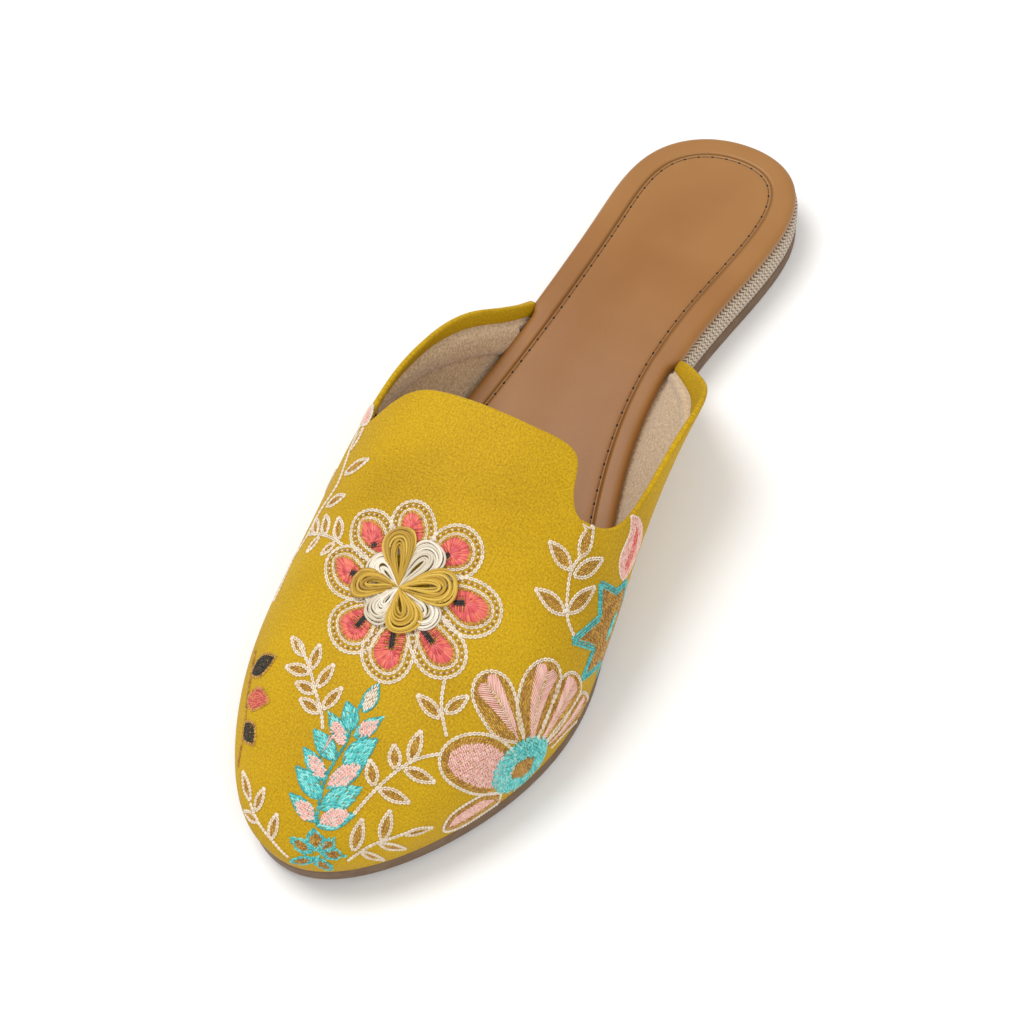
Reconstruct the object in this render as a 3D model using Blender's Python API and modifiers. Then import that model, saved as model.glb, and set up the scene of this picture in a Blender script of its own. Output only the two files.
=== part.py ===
"""Flat mule, right foot: a lasted cloth upper on a thin sole with a low covered wedge.

Metres, +Z up, +X toward the toe, +Y toward the inner (arch) side of the foot.
The shoe stands on its heel pad and ball at z = 0, centred on the origin.

"along" is a share of the last's length from the back of the heel, and "level" climbs the upper
from 0 at the feather line, where it meets the sole, to 1 at the ridge over the middle of the foot.
"""
import bmesh
import bpy
import numpy as np

# last
LAST_LENGTH = 0.252
BALL_WIDTH = 0.080
INSTEP_HEIGHT = 0.060
HEEL_RADIUS = 0.034
TOE_RADIUS_OUTER = 0.022
TOE_RADIUS_INNER = 0.0165
TOE_SPRING = 0.0041
TOE_SWING = 0.0012
RIDGE_SHIFT = 0.0022
RIDGE_ROUNDNESS = 2.5

# bottom
SOLE_THICKNESS = 0.0050
ARCH_LIFT = 0.0022
SOLE_EDGE_ROUND = 0.0007
WEDGE_HEIGHT = 0.0085
WEDGE_EDGE_ROUND = 0.0006
INSOLE_THICKNESS = 0.0035
INSOLE_INSET = 0.0008
INSOLE_FRONT_INSET = 0.0024
INSOLE_ROLL = 0.0018
INSOLE_DISH = 0.0010

# upper
WALL = 0.0014
PADDED_WALL = 0.0028
OVERHANG = 0.0002
LASTING_MARGIN = 0.0060
GAP = 0.0003

# working steps: points closer than WELD are one, slopes are read over a nudge
WELD = 0.00002
NUDGE = 0.001
TURN_NUDGE = 0.001

# stations along the last, as shares of its length
HEEL_BREAST = 0.30
BREAST_RUN = 0.012
ARCH_FRONT = 0.58
BREAK_LINE = 0.659
WEDGE_FULL = 0.22
WEDGE_NONE = 0.62
WEDGE_END = 0.52
WEDGE_STEP_RUN = 0.001
INSOLE_LEAD = 0.004
INSOLE_STEP_RUN = 0.012
RIDGE_TURN = 0.72
GATE_AT_RIDGE = 0.66
STATION_ROOM = 0.008

# half widths of the feather line, as shares of BALL_WIDTH: along, outer side, inner side
OUTLINE = (
    (0.06, 0.315, 0.270),
    (0.17, 0.351, 0.274),
    (0.36, 0.369, 0.228),
    (0.55, 0.441, 0.372),
    (0.70, 0.477, 0.520),
    (0.84, 0.411, 0.462),
    (0.94, 0.274, 0.288),
)
# how far the upper swells past a plain arch, as shares of BALL_WIDTH: along, outer, inner
FULLNESS = (
    (0.30, 0.045, 0.132),
    (0.38, 0.075, 0.226),
    (0.46, 0.084, 0.199),
    (0.55, 0.095, 0.131),
    (0.70, 0.035, 0.036),
    (0.85, 0.038, 0.021),
    (1.00, 0.019, 0.019),
)
FULLEST_LEVEL = 0.25
# height of the ridge, as shares of INSTEP_HEIGHT: along, height
RIDGE = (
    (0.20, 1.370),
    (0.40, 1.305),
    (0.52, 1.090),
    (0.66, 0.880),
    (0.80, 0.700),
    (0.92, 0.514),
    (1.02, 0.376),
)
# top edge of each wing from its rear end to the front of the notch: along, level
OUTER_WING = (
    (0.314, 0.012),
    (0.335, 0.034),
    (0.360, 0.068),
    (0.390, 0.121),
    (0.430, 0.190),
    (0.480, 0.268),
    (0.530, 0.338),
    (0.565, 0.376),
    (0.585, 0.398),
    (0.597, 0.423),
    (0.602, 0.455),
)
INNER_WING = (
    (0.314, 0.014),
    (0.335, 0.059),
    (0.360, 0.108),
    (0.390, 0.161),
    (0.430, 0.208),
    (0.480, 0.250),
    (0.530, 0.282),
    (0.575, 0.332),
    (0.603, 0.407),
    (0.620, 0.560),
)
# edge of the tongue from the front of the notch to the middle of its top: along, level
OUTER_TONGUE = (
    (0.602, 0.455),
    (0.600, 0.485),
    (0.594, 0.520),
    (0.586, 0.560),
    (0.577, 0.615),
    (0.571, 0.690),
    (0.570, 0.800),
    (0.570, 1.000),
)
INNER_TONGUE = (
    (0.620, 0.560),
    (0.613, 0.615),
    (0.597, 0.645),
    (0.580, 0.662),
    (0.571, 0.695),
    (0.569, 0.770),
    (0.570, 0.880),
    (0.570, 1.000),
)
# rows of the upper below the notch, as shares of the top edge's level; the last ones are the
# padded band, which fades out ahead of BAND_FRONT and where the wing is lower than BAND_LOWEST
WING_ROWS = (0.0, 0.03, 0.10, 0.22, 0.38, 0.55, 0.70, 0.78, 0.90, 1.0)
BAND_ROWS = 3
BAND_FRONT = 0.56
BAND_LOWEST = 0.045
BAND_FADE = 0.06

WING_COLUMNS = 18
VAMP_COLUMNS = 18
TONGUE_COLUMNS = 5
VAMP_ROWS = 9
SOLE_STATIONS = 44
SOLE_CROSS = 6

OUTER, INNER = -1, 1


def smooth_step(share):
    share = np.clip(share, 0, 1)
    return share * share * (3 - 2 * share)


def curve(table_x, table_y, x):
    """A natural cubic spline through a table's rows, read at x."""
    xs, ys = np.asarray(table_x, float), np.asarray(table_y, float)
    steps = np.diff(xs)
    count = len(xs)
    system, right = np.eye(count), np.zeros(count)
    for i in range(1, count - 1):
        system[i, i - 1:i + 2] = steps[i - 1], 2 * (steps[i - 1] + steps[i]), steps[i]
        right[i] = 6 * ((ys[i + 1] - ys[i]) / steps[i] - (ys[i] - ys[i - 1]) / steps[i - 1])
    bend = np.linalg.solve(system, right)
    k = np.clip(np.searchsorted(xs, x) - 1, 0, count - 2)
    step = xs[k + 1] - xs[k]
    a, b = (xs[k + 1] - x) / step, (x - xs[k]) / step
    ease = ((a**3 - a) * bend[k] + (b**3 - b) * bend[k + 1]) * step**2 / 6
    return a * ys[k] + b * ys[k + 1] + ease


def turn_of(along):
    """The angle that runs 0 to pi round the outline from heel to toe, for a share along."""
    return np.arccos(1 - 2 * np.clip(along, 0, 1))


def column(table, index):
    return np.array([row[index] for row in table])


def half_width(side, turn):
    """sin(turn) times a spline of width / sin(turn), so heel and toe close in round arcs."""
    rows = turn_of(column(OUTLINE, 0))
    widths = column(OUTLINE, 1 if side == OUTER else 2) * BALL_WIDTH / np.sin(rows)
    toe_radius = TOE_RADIUS_OUTER if side == OUTER else TOE_RADIUS_INNER
    ends = np.sqrt(np.array([HEEL_RADIUS, toe_radius]) * LAST_LENGTH / 2)
    turns = np.concatenate([[0], rows, [np.pi]])
    return np.sin(turn) * curve(turns, np.concatenate([ends[:1], widths, ends[1:]]), turn)


def swing(x):
    return TOE_SWING * smooth_step((x / LAST_LENGTH - 0.45) / 0.55)


def plan(side, turn):
    x = LAST_LENGTH / 2 * (1 - np.cos(turn))
    return x, side * half_width(side, turn) + swing(x)


def outline(side, along, offset):
    """Points of the feather line seen from above, moved outward by offset."""
    turn = turn_of(along)
    x, y = plan(side, turn)
    x0, y0 = plan(side, turn - TURN_NUDGE)
    x1, y1 = plan(side, turn + TURN_NUDGE)
    length = np.hypot(x1 - x0, y1 - y0)
    return x - side * (y1 - y0) / length * offset, y + side * (x1 - x0) / length * offset


def ground_lift(x):
    """Toe spring: the bottom's rise ahead of the break line."""
    past = np.clip((x / LAST_LENGTH - BREAK_LINE) / (1 - BREAK_LINE), 0, None)
    return TOE_SPRING * past**2


def bottom_height(x):
    """Underside of the sole: flat heel pad, heel breast, lifted arch, flat ball, toe spring."""
    share = x / LAST_LENGTH
    arch = np.clip((share - HEEL_BREAST) / (ARCH_FRONT - HEEL_BREAST), 0, 1)
    breast = smooth_step((share - HEEL_BREAST) / BREAST_RUN)
    return ARCH_LIFT * breast * (1 - smooth_step(arch)) + ground_lift(x)


def feather_height(x):
    """Top of the sole and wedge, where the upper and the insole sit."""
    fall = smooth_step((x / LAST_LENGTH - WEDGE_FULL) / (WEDGE_NONE - WEDGE_FULL))
    return SOLE_THICKNESS + WEDGE_HEIGHT * (1 - fall) + ground_lift(x)


def ridge_plan(along):
    """The ridge's x for a feather point's share along: it stops short of the toe's tip."""
    past = np.clip((along - RIDGE_TURN) / (1 - RIDGE_TURN), 0, 1)
    reach = RIDGE_TURN + (1 - RIDGE_TURN) * 2 / np.pi * np.sin(np.pi / 2 * past)
    return np.where(along < RIDGE_TURN, along, reach) * LAST_LENGTH


def ridge_height(x):
    return curve(column(RIDGE, 0) * LAST_LENGTH, column(RIDGE, 1) * INSTEP_HEIGHT, x)


def skin(side, along, level):
    """The upper's outer face: superellipse arches from feather line to ridge, with fullness."""
    along, level = np.broadcast_arrays(np.asarray(along, float), np.asarray(level, float))
    x, y = outline(side, along, OVERHANG)
    out_x, out_y = outline(side, along, OVERHANG + NUDGE)
    ridge_x = ridge_plan(along)
    ridge_y = swing(ridge_x) + RIDGE_SHIFT * (1 - np.clip(2 * ridge_x / LAST_LENGTH - 1, 0, 1))
    angle = np.pi / 2 * level
    inward = 1 - np.cos(angle)**(2 / RIDGE_ROUNDNESS)
    upward = np.sin(angle)**(2 / RIDGE_ROUNDNESS)
    rise = np.sin(np.pi / 2 * np.clip(level / FULLEST_LEVEL, 0, 1))
    fall = np.cos(np.pi / 2 * np.clip((level - FULLEST_LEVEL) / (1 - FULLEST_LEVEL), 0, 1))**2
    swell = np.where(level < FULLEST_LEVEL, rise, fall)
    swell = swell * BALL_WIDTH * curve(column(FULLNESS, 0), column(FULLNESS, 1 if side == OUTER else 2),
                                       along)
    px = x + (ridge_x - x) * inward + (out_x - x) / NUDGE * swell
    py = y + (ridge_y - y) * inward + (out_y - y) / NUDGE * swell
    base = feather_height(LAST_LENGTH * along) + GAP
    return np.stack([px, py, base + (ridge_height(px) - base) * upward], -1)


def edge_curve(table, count):
    """Points spread evenly by length along a spline through a table of (along, level) rows."""
    points = np.array(table)
    lengths = np.concatenate([[0], np.cumsum(np.hypot(*np.diff(points, axis=0).T))])
    spots = np.linspace(0, lengths[-1], count + 1)
    return curve(lengths, points[:, 0], spots), curve(lengths, points[:, 1], spots)


def upper_blocks(side):
    """Grids of the outer face: wing, vamp and half tongue, and the turned-in margin.

    Each block is (points, padding), its first index running toward the toe.
    """
    wing_along, wing_top = edge_curve(OUTER_WING if side == OUTER else INNER_WING, WING_COLUMNS)
    tongue_along, tongue_level = edge_curve(OUTER_TONGUE if side == OUTER else INNER_TONGUE, VAMP_ROWS)
    rows = np.array(WING_ROWS)
    band = np.arange(len(rows)) >= len(rows) - BAND_ROWS
    fade = smooth_step((BAND_FRONT - wing_along) / BAND_FADE)
    fade = fade * smooth_step((wing_top - BAND_LOWEST) / BAND_FADE)
    wing = skin(side, wing_along[:, None], wing_top[:, None] * rows)

    notch_along, notch_level = wing_along[-1], wing_top[-1]
    levels = np.concatenate([notch_level * rows, tongue_level[1:]])
    gate = notch_along + (GATE_AT_RIDGE - notch_along) * np.clip(
        (levels - notch_level) / (1 - notch_level), 0, 1)
    forward = np.linspace(0, 1, VAMP_COLUMNS + 1)[:, None]
    turns = turn_of(gate) + (np.pi - turn_of(gate)) * forward
    toe_levels = np.concatenate([INNER_TONGUE[0][1] * rows, edge_curve(INNER_TONGUE, VAMP_ROWS)[1][1:]])
    vamp = skin(side, (1 - np.cos(turns)) / 2, levels + (toe_levels - levels) * forward)

    shares = np.linspace(0, 1, TONGUE_COLUMNS + 1)[:, None]
    tongue_gate = gate[len(rows) - 1:]
    tongue = skin(side, tongue_along + (tongue_gate - tongue_along) * shares, tongue_level)

    feather = np.concatenate([wing_along, (1 - np.cos(turns[1:, 0])) / 2])
    x, y = outline(side, feather, -LASTING_MARGIN)
    turned_in = np.stack([x, y, feather_height(x) + GAP], -1)
    margin = np.stack([turned_in, skin(side, feather, 0)], 1)
    blocks = [(wing, fade[:, None] * band)]
    return blocks + [(points, np.zeros(points.shape[:2])) for points in (vamp, tongue, margin)]


def make_mesh(name, points, faces):
    mesh = bpy.data.meshes.new(name)
    mesh.from_pydata([tuple(point) for point in points], [], faces)
    return mesh


def grid_faces(start, rows, columns, flip):
    index = start + np.arange(rows * columns).reshape(rows, columns)
    quads = np.stack([index[:-1, :-1], index[1:, :-1], index[1:, 1:], index[:-1, 1:]], -1).reshape(-1, 4)
    return (quads[:, ::-1] if flip else quads).tolist()


def upper_shape():
    """All blocks of both sides as points, faces and padding weights, before welding."""
    points, faces, padding = [], [], []
    count = 0
    for side in (OUTER, INNER):
        for block, weight in upper_blocks(side):
            rows, columns = block.shape[:2]
            faces += grid_faces(count, rows, columns, side == INNER)
            points.append(block.reshape(-1, 3))
            padding.append(weight.reshape(-1))
            count += rows * columns
    return np.concatenate(points), faces, np.concatenate(padding)


def make_upper(shift):
    """Open outer skin, thickened inward by a Solidify modifier that reads the padding."""
    points, faces, padding = upper_shape()
    mesh = make_mesh("upper", points + shift, faces)
    upper = bpy.data.objects.new("upper", mesh)
    group = upper.vertex_groups.new(name="padding")
    for index in np.flatnonzero(padding > 0):
        group.add([int(index)], float(padding[index]), "REPLACE")
    work = bmesh.new()
    work.from_mesh(mesh)
    bmesh.ops.remove_doubles(work, verts=work.verts, dist=WELD)
    work.to_mesh(mesh)
    work.free()
    shell = upper.modifiers.new("wall", "SOLIDIFY")
    shell.thickness = PADDED_WALL
    shell.vertex_group = "padding"
    shell.thickness_vertex_group = WALL / PADDED_WALL
    shell.offset = -1
    shell.use_even_offset = True
    return upper


def sheet(stations, offset, height, dish=0.0):
    """Rows of points across the shoe, from the outer edge to the inner edge, at each station."""
    outer_x, outer_y = outline(OUTER, stations, offset)
    inner_x, inner_y = outline(INNER, stations, offset)
    share = np.linspace(0, 1, SOLE_CROSS + 1)
    x = outer_x[:, None] + (inner_x - outer_x)[:, None] * share
    y = outer_y[:, None] + (inner_y - outer_y)[:, None] * share
    depth = dish * np.clip(2 * (inner_y - outer_y) / BALL_WIDTH, 0, 1)**2
    return np.stack([x, y, height(x) - depth[:, None] * 4 * share * (1 - share)], -1)


def rim(grid):
    """A sheet's border as one loop: outer side forward, front row across, inner side back."""
    return np.concatenate([grid[:-1, 0], grid[-1, :-1], grid[:0:-1, -1], grid[:1, -1]])


def slab_shape(layers):
    """A closed solid between the first and last layer, its side running through every layer."""
    points, faces = [], []
    rows, columns = layers[0].shape[:2]
    for grid, flip in ((layers[0], True), (layers[-1], False)):
        faces += grid_faces(len(points) * rows * columns, rows, columns, flip)
        points.append(grid.reshape(-1, 3))
    start = 2 * rows * columns
    loops = [rim(grid) for grid in layers]
    size = len(loops[0])
    for k in range(len(loops) - 1):
        for i in range(size):
            j = (i + 1) % size
            lower, higher = start + k * size, start + (k + 1) * size
            faces.append([lower + i, lower + j, higher + j, higher + i])
    return np.concatenate(points + loops), faces


def make_slab(name, layers, shift):
    points, faces = slab_shape(layers)
    slab = bpy.data.objects.new(name, make_mesh(name, points + shift, faces))
    work = bmesh.new()
    work.from_mesh(slab.data)
    bmesh.ops.remove_doubles(work, verts=work.verts, dist=WELD)
    bmesh.ops.recalc_face_normals(work, faces=work.faces)
    work.to_mesh(slab.data)
    work.free()
    return slab


def stations_with(*extra, last=1.0):
    """Even steps of the turning angle, with named stations put in place of their neighbours."""
    turns = np.linspace(0, 1, SOLE_STATIONS + 1)
    even = (1 - np.cos(np.pi * turns)) / 2
    keep = [share for share in even
            if share < last and all(abs(share - spot) > STATION_ROOM for spot in extra)]
    return np.array(sorted(keep + list(extra) + [last]))


def sole_top(x):
    """The sole is thin under the wedge and steps up to the feather line ahead of it."""
    thin = SOLE_THICKNESS + ground_lift(x)
    return np.where(x < (WEDGE_END + WEDGE_STEP_RUN / 2) * LAST_LENGTH, thin, feather_height(x))


def between(low, high, share):
    return lambda x: low(x) + (high(x) - low(x)) * share


def outsole_layers():
    stations = stations_with(HEEL_BREAST, HEEL_BREAST + BREAST_RUN / 2, HEEL_BREAST + BREAST_RUN,
                             WEDGE_END, WEDGE_END + WEDGE_STEP_RUN, ARCH_FRONT, BREAK_LINE)
    profile = ((0.0, -SOLE_EDGE_ROUND), (0.16, 0.0), (0.90, 0.0), (1.0, -SOLE_EDGE_ROUND / 2))
    return [sheet(stations, offset, between(bottom_height, sole_top, share)) for share, offset in profile]


def wedge_layers():
    stations = stations_with(WEDGE_FULL, last=WEDGE_END - GAP / LAST_LENGTH)

    def base(x):
        return SOLE_THICKNESS + ground_lift(x) + GAP

    profile = ((0.0, -WEDGE_EDGE_ROUND), (0.10, 0.0), (0.90, 0.0), (1.0, -WEDGE_EDGE_ROUND))
    return [sheet(stations, offset, between(base, feather_height, share)) for share, offset in profile]


def insole_layers():
    """Rests on the wedge at the heel and on the upper's margin ahead of the wings' rear ends, where
    its edge draws in from the upper's wall."""
    wing_end = min(OUTER_WING[0][0], INNER_WING[0][0]) - INSOLE_LEAD
    margin_edge = -(LASTING_MARGIN + 2 * GAP)

    def under(x):
        step = smooth_step((x / LAST_LENGTH - wing_end) / INSOLE_STEP_RUN + 1)
        return feather_height(x) + GAP + (WALL + GAP) * step

    def top(x):
        return feather_height(x) + INSOLE_THICKNESS

    def core(x):
        return feather_height(x) + GAP

    stations = stations_with(wing_end - INSOLE_STEP_RUN, wing_end)
    edge = -INSOLE_INSET - (INSOLE_FRONT_INSET - INSOLE_INSET) * smooth_step(
        (stations - wing_end) / INSOLE_STEP_RUN)
    layers = [sheet(stations, margin_edge - GAP, core), sheet(stations, margin_edge, under)]
    profile = ((0.0, edge - INSOLE_ROLL * 0.6), (0.25, edge - INSOLE_ROLL * 0.12), (0.60, edge),
               (0.88, edge - INSOLE_ROLL * 0.35), (1.0, edge - INSOLE_ROLL))
    layers += [sheet(stations, offset, between(under, top, share)) for share, offset in profile]
    layers.append(sheet(stations, edge - 4 * INSOLE_ROLL, top, INSOLE_DISH))
    return layers


def make_material(name, colour, roughness):
    material = bpy.data.materials.new(name)
    material.use_nodes = True
    surface = material.node_tree.nodes["Principled BSDF"]
    surface.inputs["Base Color"].default_value = (*colour, 1)
    surface.inputs["Roughness"].default_value = roughness
    surface.inputs["Metallic"].default_value = 0
    return material


def centring(shapes):
    """The move that puts the middle of all points over the origin, with the sole at z = 0."""
    points = np.concatenate(shapes)
    middle = (points.min(0) + points.max(0)) / 2
    return -np.array([middle[0], middle[1], points[:, 2].min()])


def main():
    for item in list(bpy.data.objects):
        bpy.data.objects.remove(item, do_unlink=True)
    mule = bpy.data.collections.new("flat_mule")
    bpy.context.scene.collection.children.link(mule)

    slabs = {"outsole": outsole_layers(), "heel_wedge": wedge_layers(), "insole": insole_layers()}
    shapes = [slab_shape(layers)[0] for layers in slabs.values()] + [upper_shape()[0]]
    shift = centring(shapes)
    looks = {
        "outsole": ((0.227, 0.133, 0.072), 0.55),
        "heel_wedge": ((0.456, 0.371, 0.283), 0.90),
        "insole": ((0.445, 0.214, 0.081), 0.45),
        "upper": ((0.584, 0.371, 0.014), 0.50),
    }
    pieces = [make_slab(name, layers, shift) for name, layers in slabs.items()]
    pieces.append(make_upper(shift))
    for piece in pieces:
        mule.objects.link(piece)
        piece.data.materials.append(make_material(piece.name, *looks[piece.name]))
        piece.data.shade_smooth()


main()
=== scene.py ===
"""Flat mule, right foot: what its maker would sew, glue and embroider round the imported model.

Metres. Shapes are worked out in the shoe's own place, x from the back of the heel toward the toe
and y toward the inner (arch) side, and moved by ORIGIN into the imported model's place.

"along" is a share of the last's length from the heel, and "level" climbs the upper from 0 at the
feather line to 1 at the ridge. "Cloth" coordinates are millimetres on the upper's flat pattern:
x along the shoe, y round the section from the ridge, positive toward the inner side.
"""

import bmesh
import bpy
import numpy as np
from mathutils import Matrix, Vector


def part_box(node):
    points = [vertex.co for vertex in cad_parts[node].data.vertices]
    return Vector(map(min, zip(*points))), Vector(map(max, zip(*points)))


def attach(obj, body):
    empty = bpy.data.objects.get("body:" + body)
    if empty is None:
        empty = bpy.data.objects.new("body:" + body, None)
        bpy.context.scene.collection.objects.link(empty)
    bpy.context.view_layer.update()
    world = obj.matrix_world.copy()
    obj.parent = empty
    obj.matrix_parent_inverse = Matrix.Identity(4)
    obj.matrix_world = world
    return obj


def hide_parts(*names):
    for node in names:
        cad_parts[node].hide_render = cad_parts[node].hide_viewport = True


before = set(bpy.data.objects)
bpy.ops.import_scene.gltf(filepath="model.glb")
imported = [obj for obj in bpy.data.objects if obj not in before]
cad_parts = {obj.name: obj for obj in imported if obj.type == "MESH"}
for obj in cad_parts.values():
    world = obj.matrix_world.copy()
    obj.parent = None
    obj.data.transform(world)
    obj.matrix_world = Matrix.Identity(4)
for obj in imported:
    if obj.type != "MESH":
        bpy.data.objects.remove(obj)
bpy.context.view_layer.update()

MM = 0.001

# Last, as in the part's source: lengths in metres, places along it as shares of its length
LAST_LENGTH = 0.252
BALL_WIDTH = 0.080
INSTEP_HEIGHT = 0.060
HEEL_RADIUS = 0.034
TOE_RADIUS_OUTER = 0.022
TOE_RADIUS_INNER = 0.0165
TOE_SPRING = 0.0041
TOE_SWING = 0.0012
SWING_START = 0.45
RIDGE_SHIFT = 0.0022
RIDGE_ROUNDNESS = 2.5
SOLE_THICKNESS = 0.0050
ARCH_LIFT = 0.0022
WEDGE_HEIGHT = 0.0085
INSOLE_THICKNESS = 0.0035
INSOLE_INSET = 0.0008
INSOLE_FRONT_INSET = 0.0024
INSOLE_STEP_RUN = 0.012
OVERHANG = 0.0002
GAP = 0.0003
HEEL_BREAST = 0.30
BREAST_RUN = 0.012
ARCH_FRONT = 0.58
BREAK_LINE = 0.659
WEDGE_FULL = 0.22
WEDGE_NONE = 0.62
RIDGE_TURN = 0.72
GATE_AT_RIDGE = 0.66
FULLEST_LEVEL = 0.25
NUDGE = 0.001
TURN_NUDGE = 0.001

# Half widths at shares of the length, in ball widths: outer side, inner side
OUTLINE = (
    (0.06, 0.315, 0.270),
    (0.17, 0.351, 0.274),
    (0.36, 0.369, 0.228),
    (0.55, 0.441, 0.372),
    (0.70, 0.477, 0.520),
    (0.84, 0.411, 0.462),
    (0.94, 0.274, 0.288),
)
# Swell of the upper, the same way
FULLNESS = (
    (0.30, 0.045, 0.132),
    (0.38, 0.075, 0.226),
    (0.46, 0.084, 0.199),
    (0.55, 0.095, 0.131),
    (0.70, 0.035, 0.036),
    (0.85, 0.038, 0.021),
    (1.00, 0.019, 0.019),
)
# Height of the top line, in instep heights
RIDGE = (
    (0.20, 1.370),
    (0.40, 1.305),
    (0.52, 1.090),
    (0.66, 0.880),
    (0.80, 0.700),
    (0.92, 0.514),
    (1.02, 0.376),
)
# Collar line as (along, level)
OUTER_WING = (
    (0.314, 0.012),
    (0.335, 0.034),
    (0.360, 0.068),
    (0.390, 0.121),
    (0.430, 0.190),
    (0.480, 0.268),
    (0.530, 0.338),
    (0.565, 0.376),
    (0.585, 0.398),
    (0.597, 0.423),
    (0.602, 0.455),
)
INNER_WING = (
    (0.314, 0.014),
    (0.335, 0.059),
    (0.360, 0.108),
    (0.390, 0.161),
    (0.430, 0.208),
    (0.480, 0.250),
    (0.530, 0.282),
    (0.575, 0.332),
    (0.603, 0.407),
    (0.620, 0.560),
)
OUTER_TONGUE = (
    (0.602, 0.455),
    (0.600, 0.485),
    (0.594, 0.520),
    (0.586, 0.560),
    (0.577, 0.615),
    (0.571, 0.690),
    (0.570, 0.800),
    (0.570, 1.000),
)
INNER_TONGUE = (
    (0.620, 0.560),
    (0.613, 0.615),
    (0.597, 0.645),
    (0.580, 0.662),
    (0.571, 0.695),
    (0.569, 0.770),
    (0.570, 0.880),
    (0.570, 1.000),
)
OUTER, INNER = -1, 1

# Mesh density, and the spots that a smooth line is measured at
WING_COLUMNS = 80
WING_ROWS = 40
VAMP_COLUMNS = 120
TONGUE_ROWS = 44
TONGUE_COLUMNS = 16
LOOP_POINTS = 260
FINE_SPOTS = 400


def smooth_step(share):
    """3 s^2 - 2 s^3, with the share s held between 0 and 1."""
    share = np.clip(share, 0, 1)
    return share * share * (3 - 2 * share)


def column(table, index):
    """One column of a table."""
    return np.array([row[index] for row in table], float)


def curve(xs, ys, x):
    """A natural cubic spline through a table's rows, read at x."""
    xs, ys = np.asarray(xs, float), np.asarray(ys, float)
    steps = np.diff(xs)
    count = len(xs)
    system, right = np.eye(count), np.zeros(count)
    for i in range(1, count - 1):
        system[i, i - 1:i + 2] = steps[i - 1], 2 * (steps[i - 1] + steps[i]), steps[i]
        right[i] = 6 * ((ys[i + 1] - ys[i]) / steps[i] - (ys[i] - ys[i - 1]) / steps[i - 1])
    bend = np.linalg.solve(system, right)
    k = np.clip(np.searchsorted(xs, x) - 1, 0, count - 2)
    step = xs[k + 1] - xs[k]
    a, b = (xs[k + 1] - x) / step, (x - xs[k]) / step
    ease = ((a**3 - a) * bend[k] + (b**3 - b) * bend[k + 1]) * step**2 / 6
    return a * ys[k] + b * ys[k + 1] + ease


def even_curve(rows, count):
    """Points spread evenly by length along a spline through the rows of a table."""
    rows = np.asarray(rows, float)
    lengths = np.concatenate([[0], np.cumsum(np.linalg.norm(np.diff(rows, axis=0), axis=1))])
    for _ in range(3):
        spots = np.linspace(0, lengths[-1], FINE_SPOTS)
        fine = np.stack([curve(lengths, rows[:, k], spots) for k in range(rows.shape[1])], -1)
        run = np.concatenate([[0], np.cumsum(np.linalg.norm(np.diff(fine, axis=0), axis=1))])
        lengths = np.interp(lengths, spots, run)
    spots = np.linspace(0, lengths[-1], count + 1)
    return np.stack([curve(lengths, rows[:, k], spots) for k in range(rows.shape[1])], -1)


def turn_of(along):
    """The angle that runs 0 to pi round the outline from heel to toe, for a share along."""
    return np.arccos(1 - 2 * np.clip(along, 0, 1))


def half_width(side, turn):
    """sin(turn) times a spline of width / sin(turn), so heel and toe close in round arcs."""
    rows = turn_of(column(OUTLINE, 0))
    widths = column(OUTLINE, 1 if side == OUTER else 2) * BALL_WIDTH / np.sin(rows)
    toe_radius = TOE_RADIUS_OUTER if side == OUTER else TOE_RADIUS_INNER
    ends = np.sqrt(np.array([HEEL_RADIUS, toe_radius]) * LAST_LENGTH / 2)
    turns = np.concatenate([[0], rows, [np.pi]])
    return np.sin(turn) * curve(turns, np.concatenate([ends[:1], widths, ends[1:]]), turn)


def swing(x):
    """The toe's move to the inner side: a smooth step over the front part of the last."""
    return TOE_SWING * smooth_step((x / LAST_LENGTH - SWING_START) / (1 - SWING_START))


def plan(side, turn):
    """Outline from above: x is (1 - cos turn) / 2 of the length, y the half width plus swing."""
    x = LAST_LENGTH / 2 * (1 - np.cos(turn))
    return x, side * half_width(side, turn) + swing(x)


def outline(side, along, offset):
    """Points of the feather line seen from above, moved outward by offset."""
    turn = turn_of(along)
    x, y = plan(side, turn)
    x0, y0 = plan(side, turn - TURN_NUDGE)
    x1, y1 = plan(side, turn + TURN_NUDGE)
    length = np.hypot(x1 - x0, y1 - y0)
    return x - side * (y1 - y0) / length * offset, y + side * (x1 - x0) / length * offset


def ground_lift(x):
    """Toe spring: the square of how far x is past the break line."""
    past = np.clip((x / LAST_LENGTH - BREAK_LINE) / (1 - BREAK_LINE), 0, None)
    return TOE_SPRING * past**2


def bottom_height(x):
    """Underside of the sole: flat heel pad, heel breast, lifted arch, flat ball, toe spring."""
    share = x / LAST_LENGTH
    arch = np.clip((share - HEEL_BREAST) / (ARCH_FRONT - HEEL_BREAST), 0, 1)
    breast = smooth_step((share - HEEL_BREAST) / BREAST_RUN)
    return ARCH_LIFT * breast * (1 - smooth_step(arch)) + ground_lift(x)


def feather_height(x):
    """Top of the sole and wedge, where the upper and the insole sit."""
    fall = smooth_step((x / LAST_LENGTH - WEDGE_FULL) / (WEDGE_NONE - WEDGE_FULL))
    return SOLE_THICKNESS + WEDGE_HEIGHT * (1 - fall) + ground_lift(x)


def ridge_plan(along):
    """The ridge's x for a feather point's share along: it stops short of the toe's tip."""
    past = np.clip((along - RIDGE_TURN) / (1 - RIDGE_TURN), 0, 1)
    reach = RIDGE_TURN + (1 - RIDGE_TURN) * 2 / np.pi * np.sin(np.pi / 2 * past)
    return np.where(along < RIDGE_TURN, along, reach) * LAST_LENGTH


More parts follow.
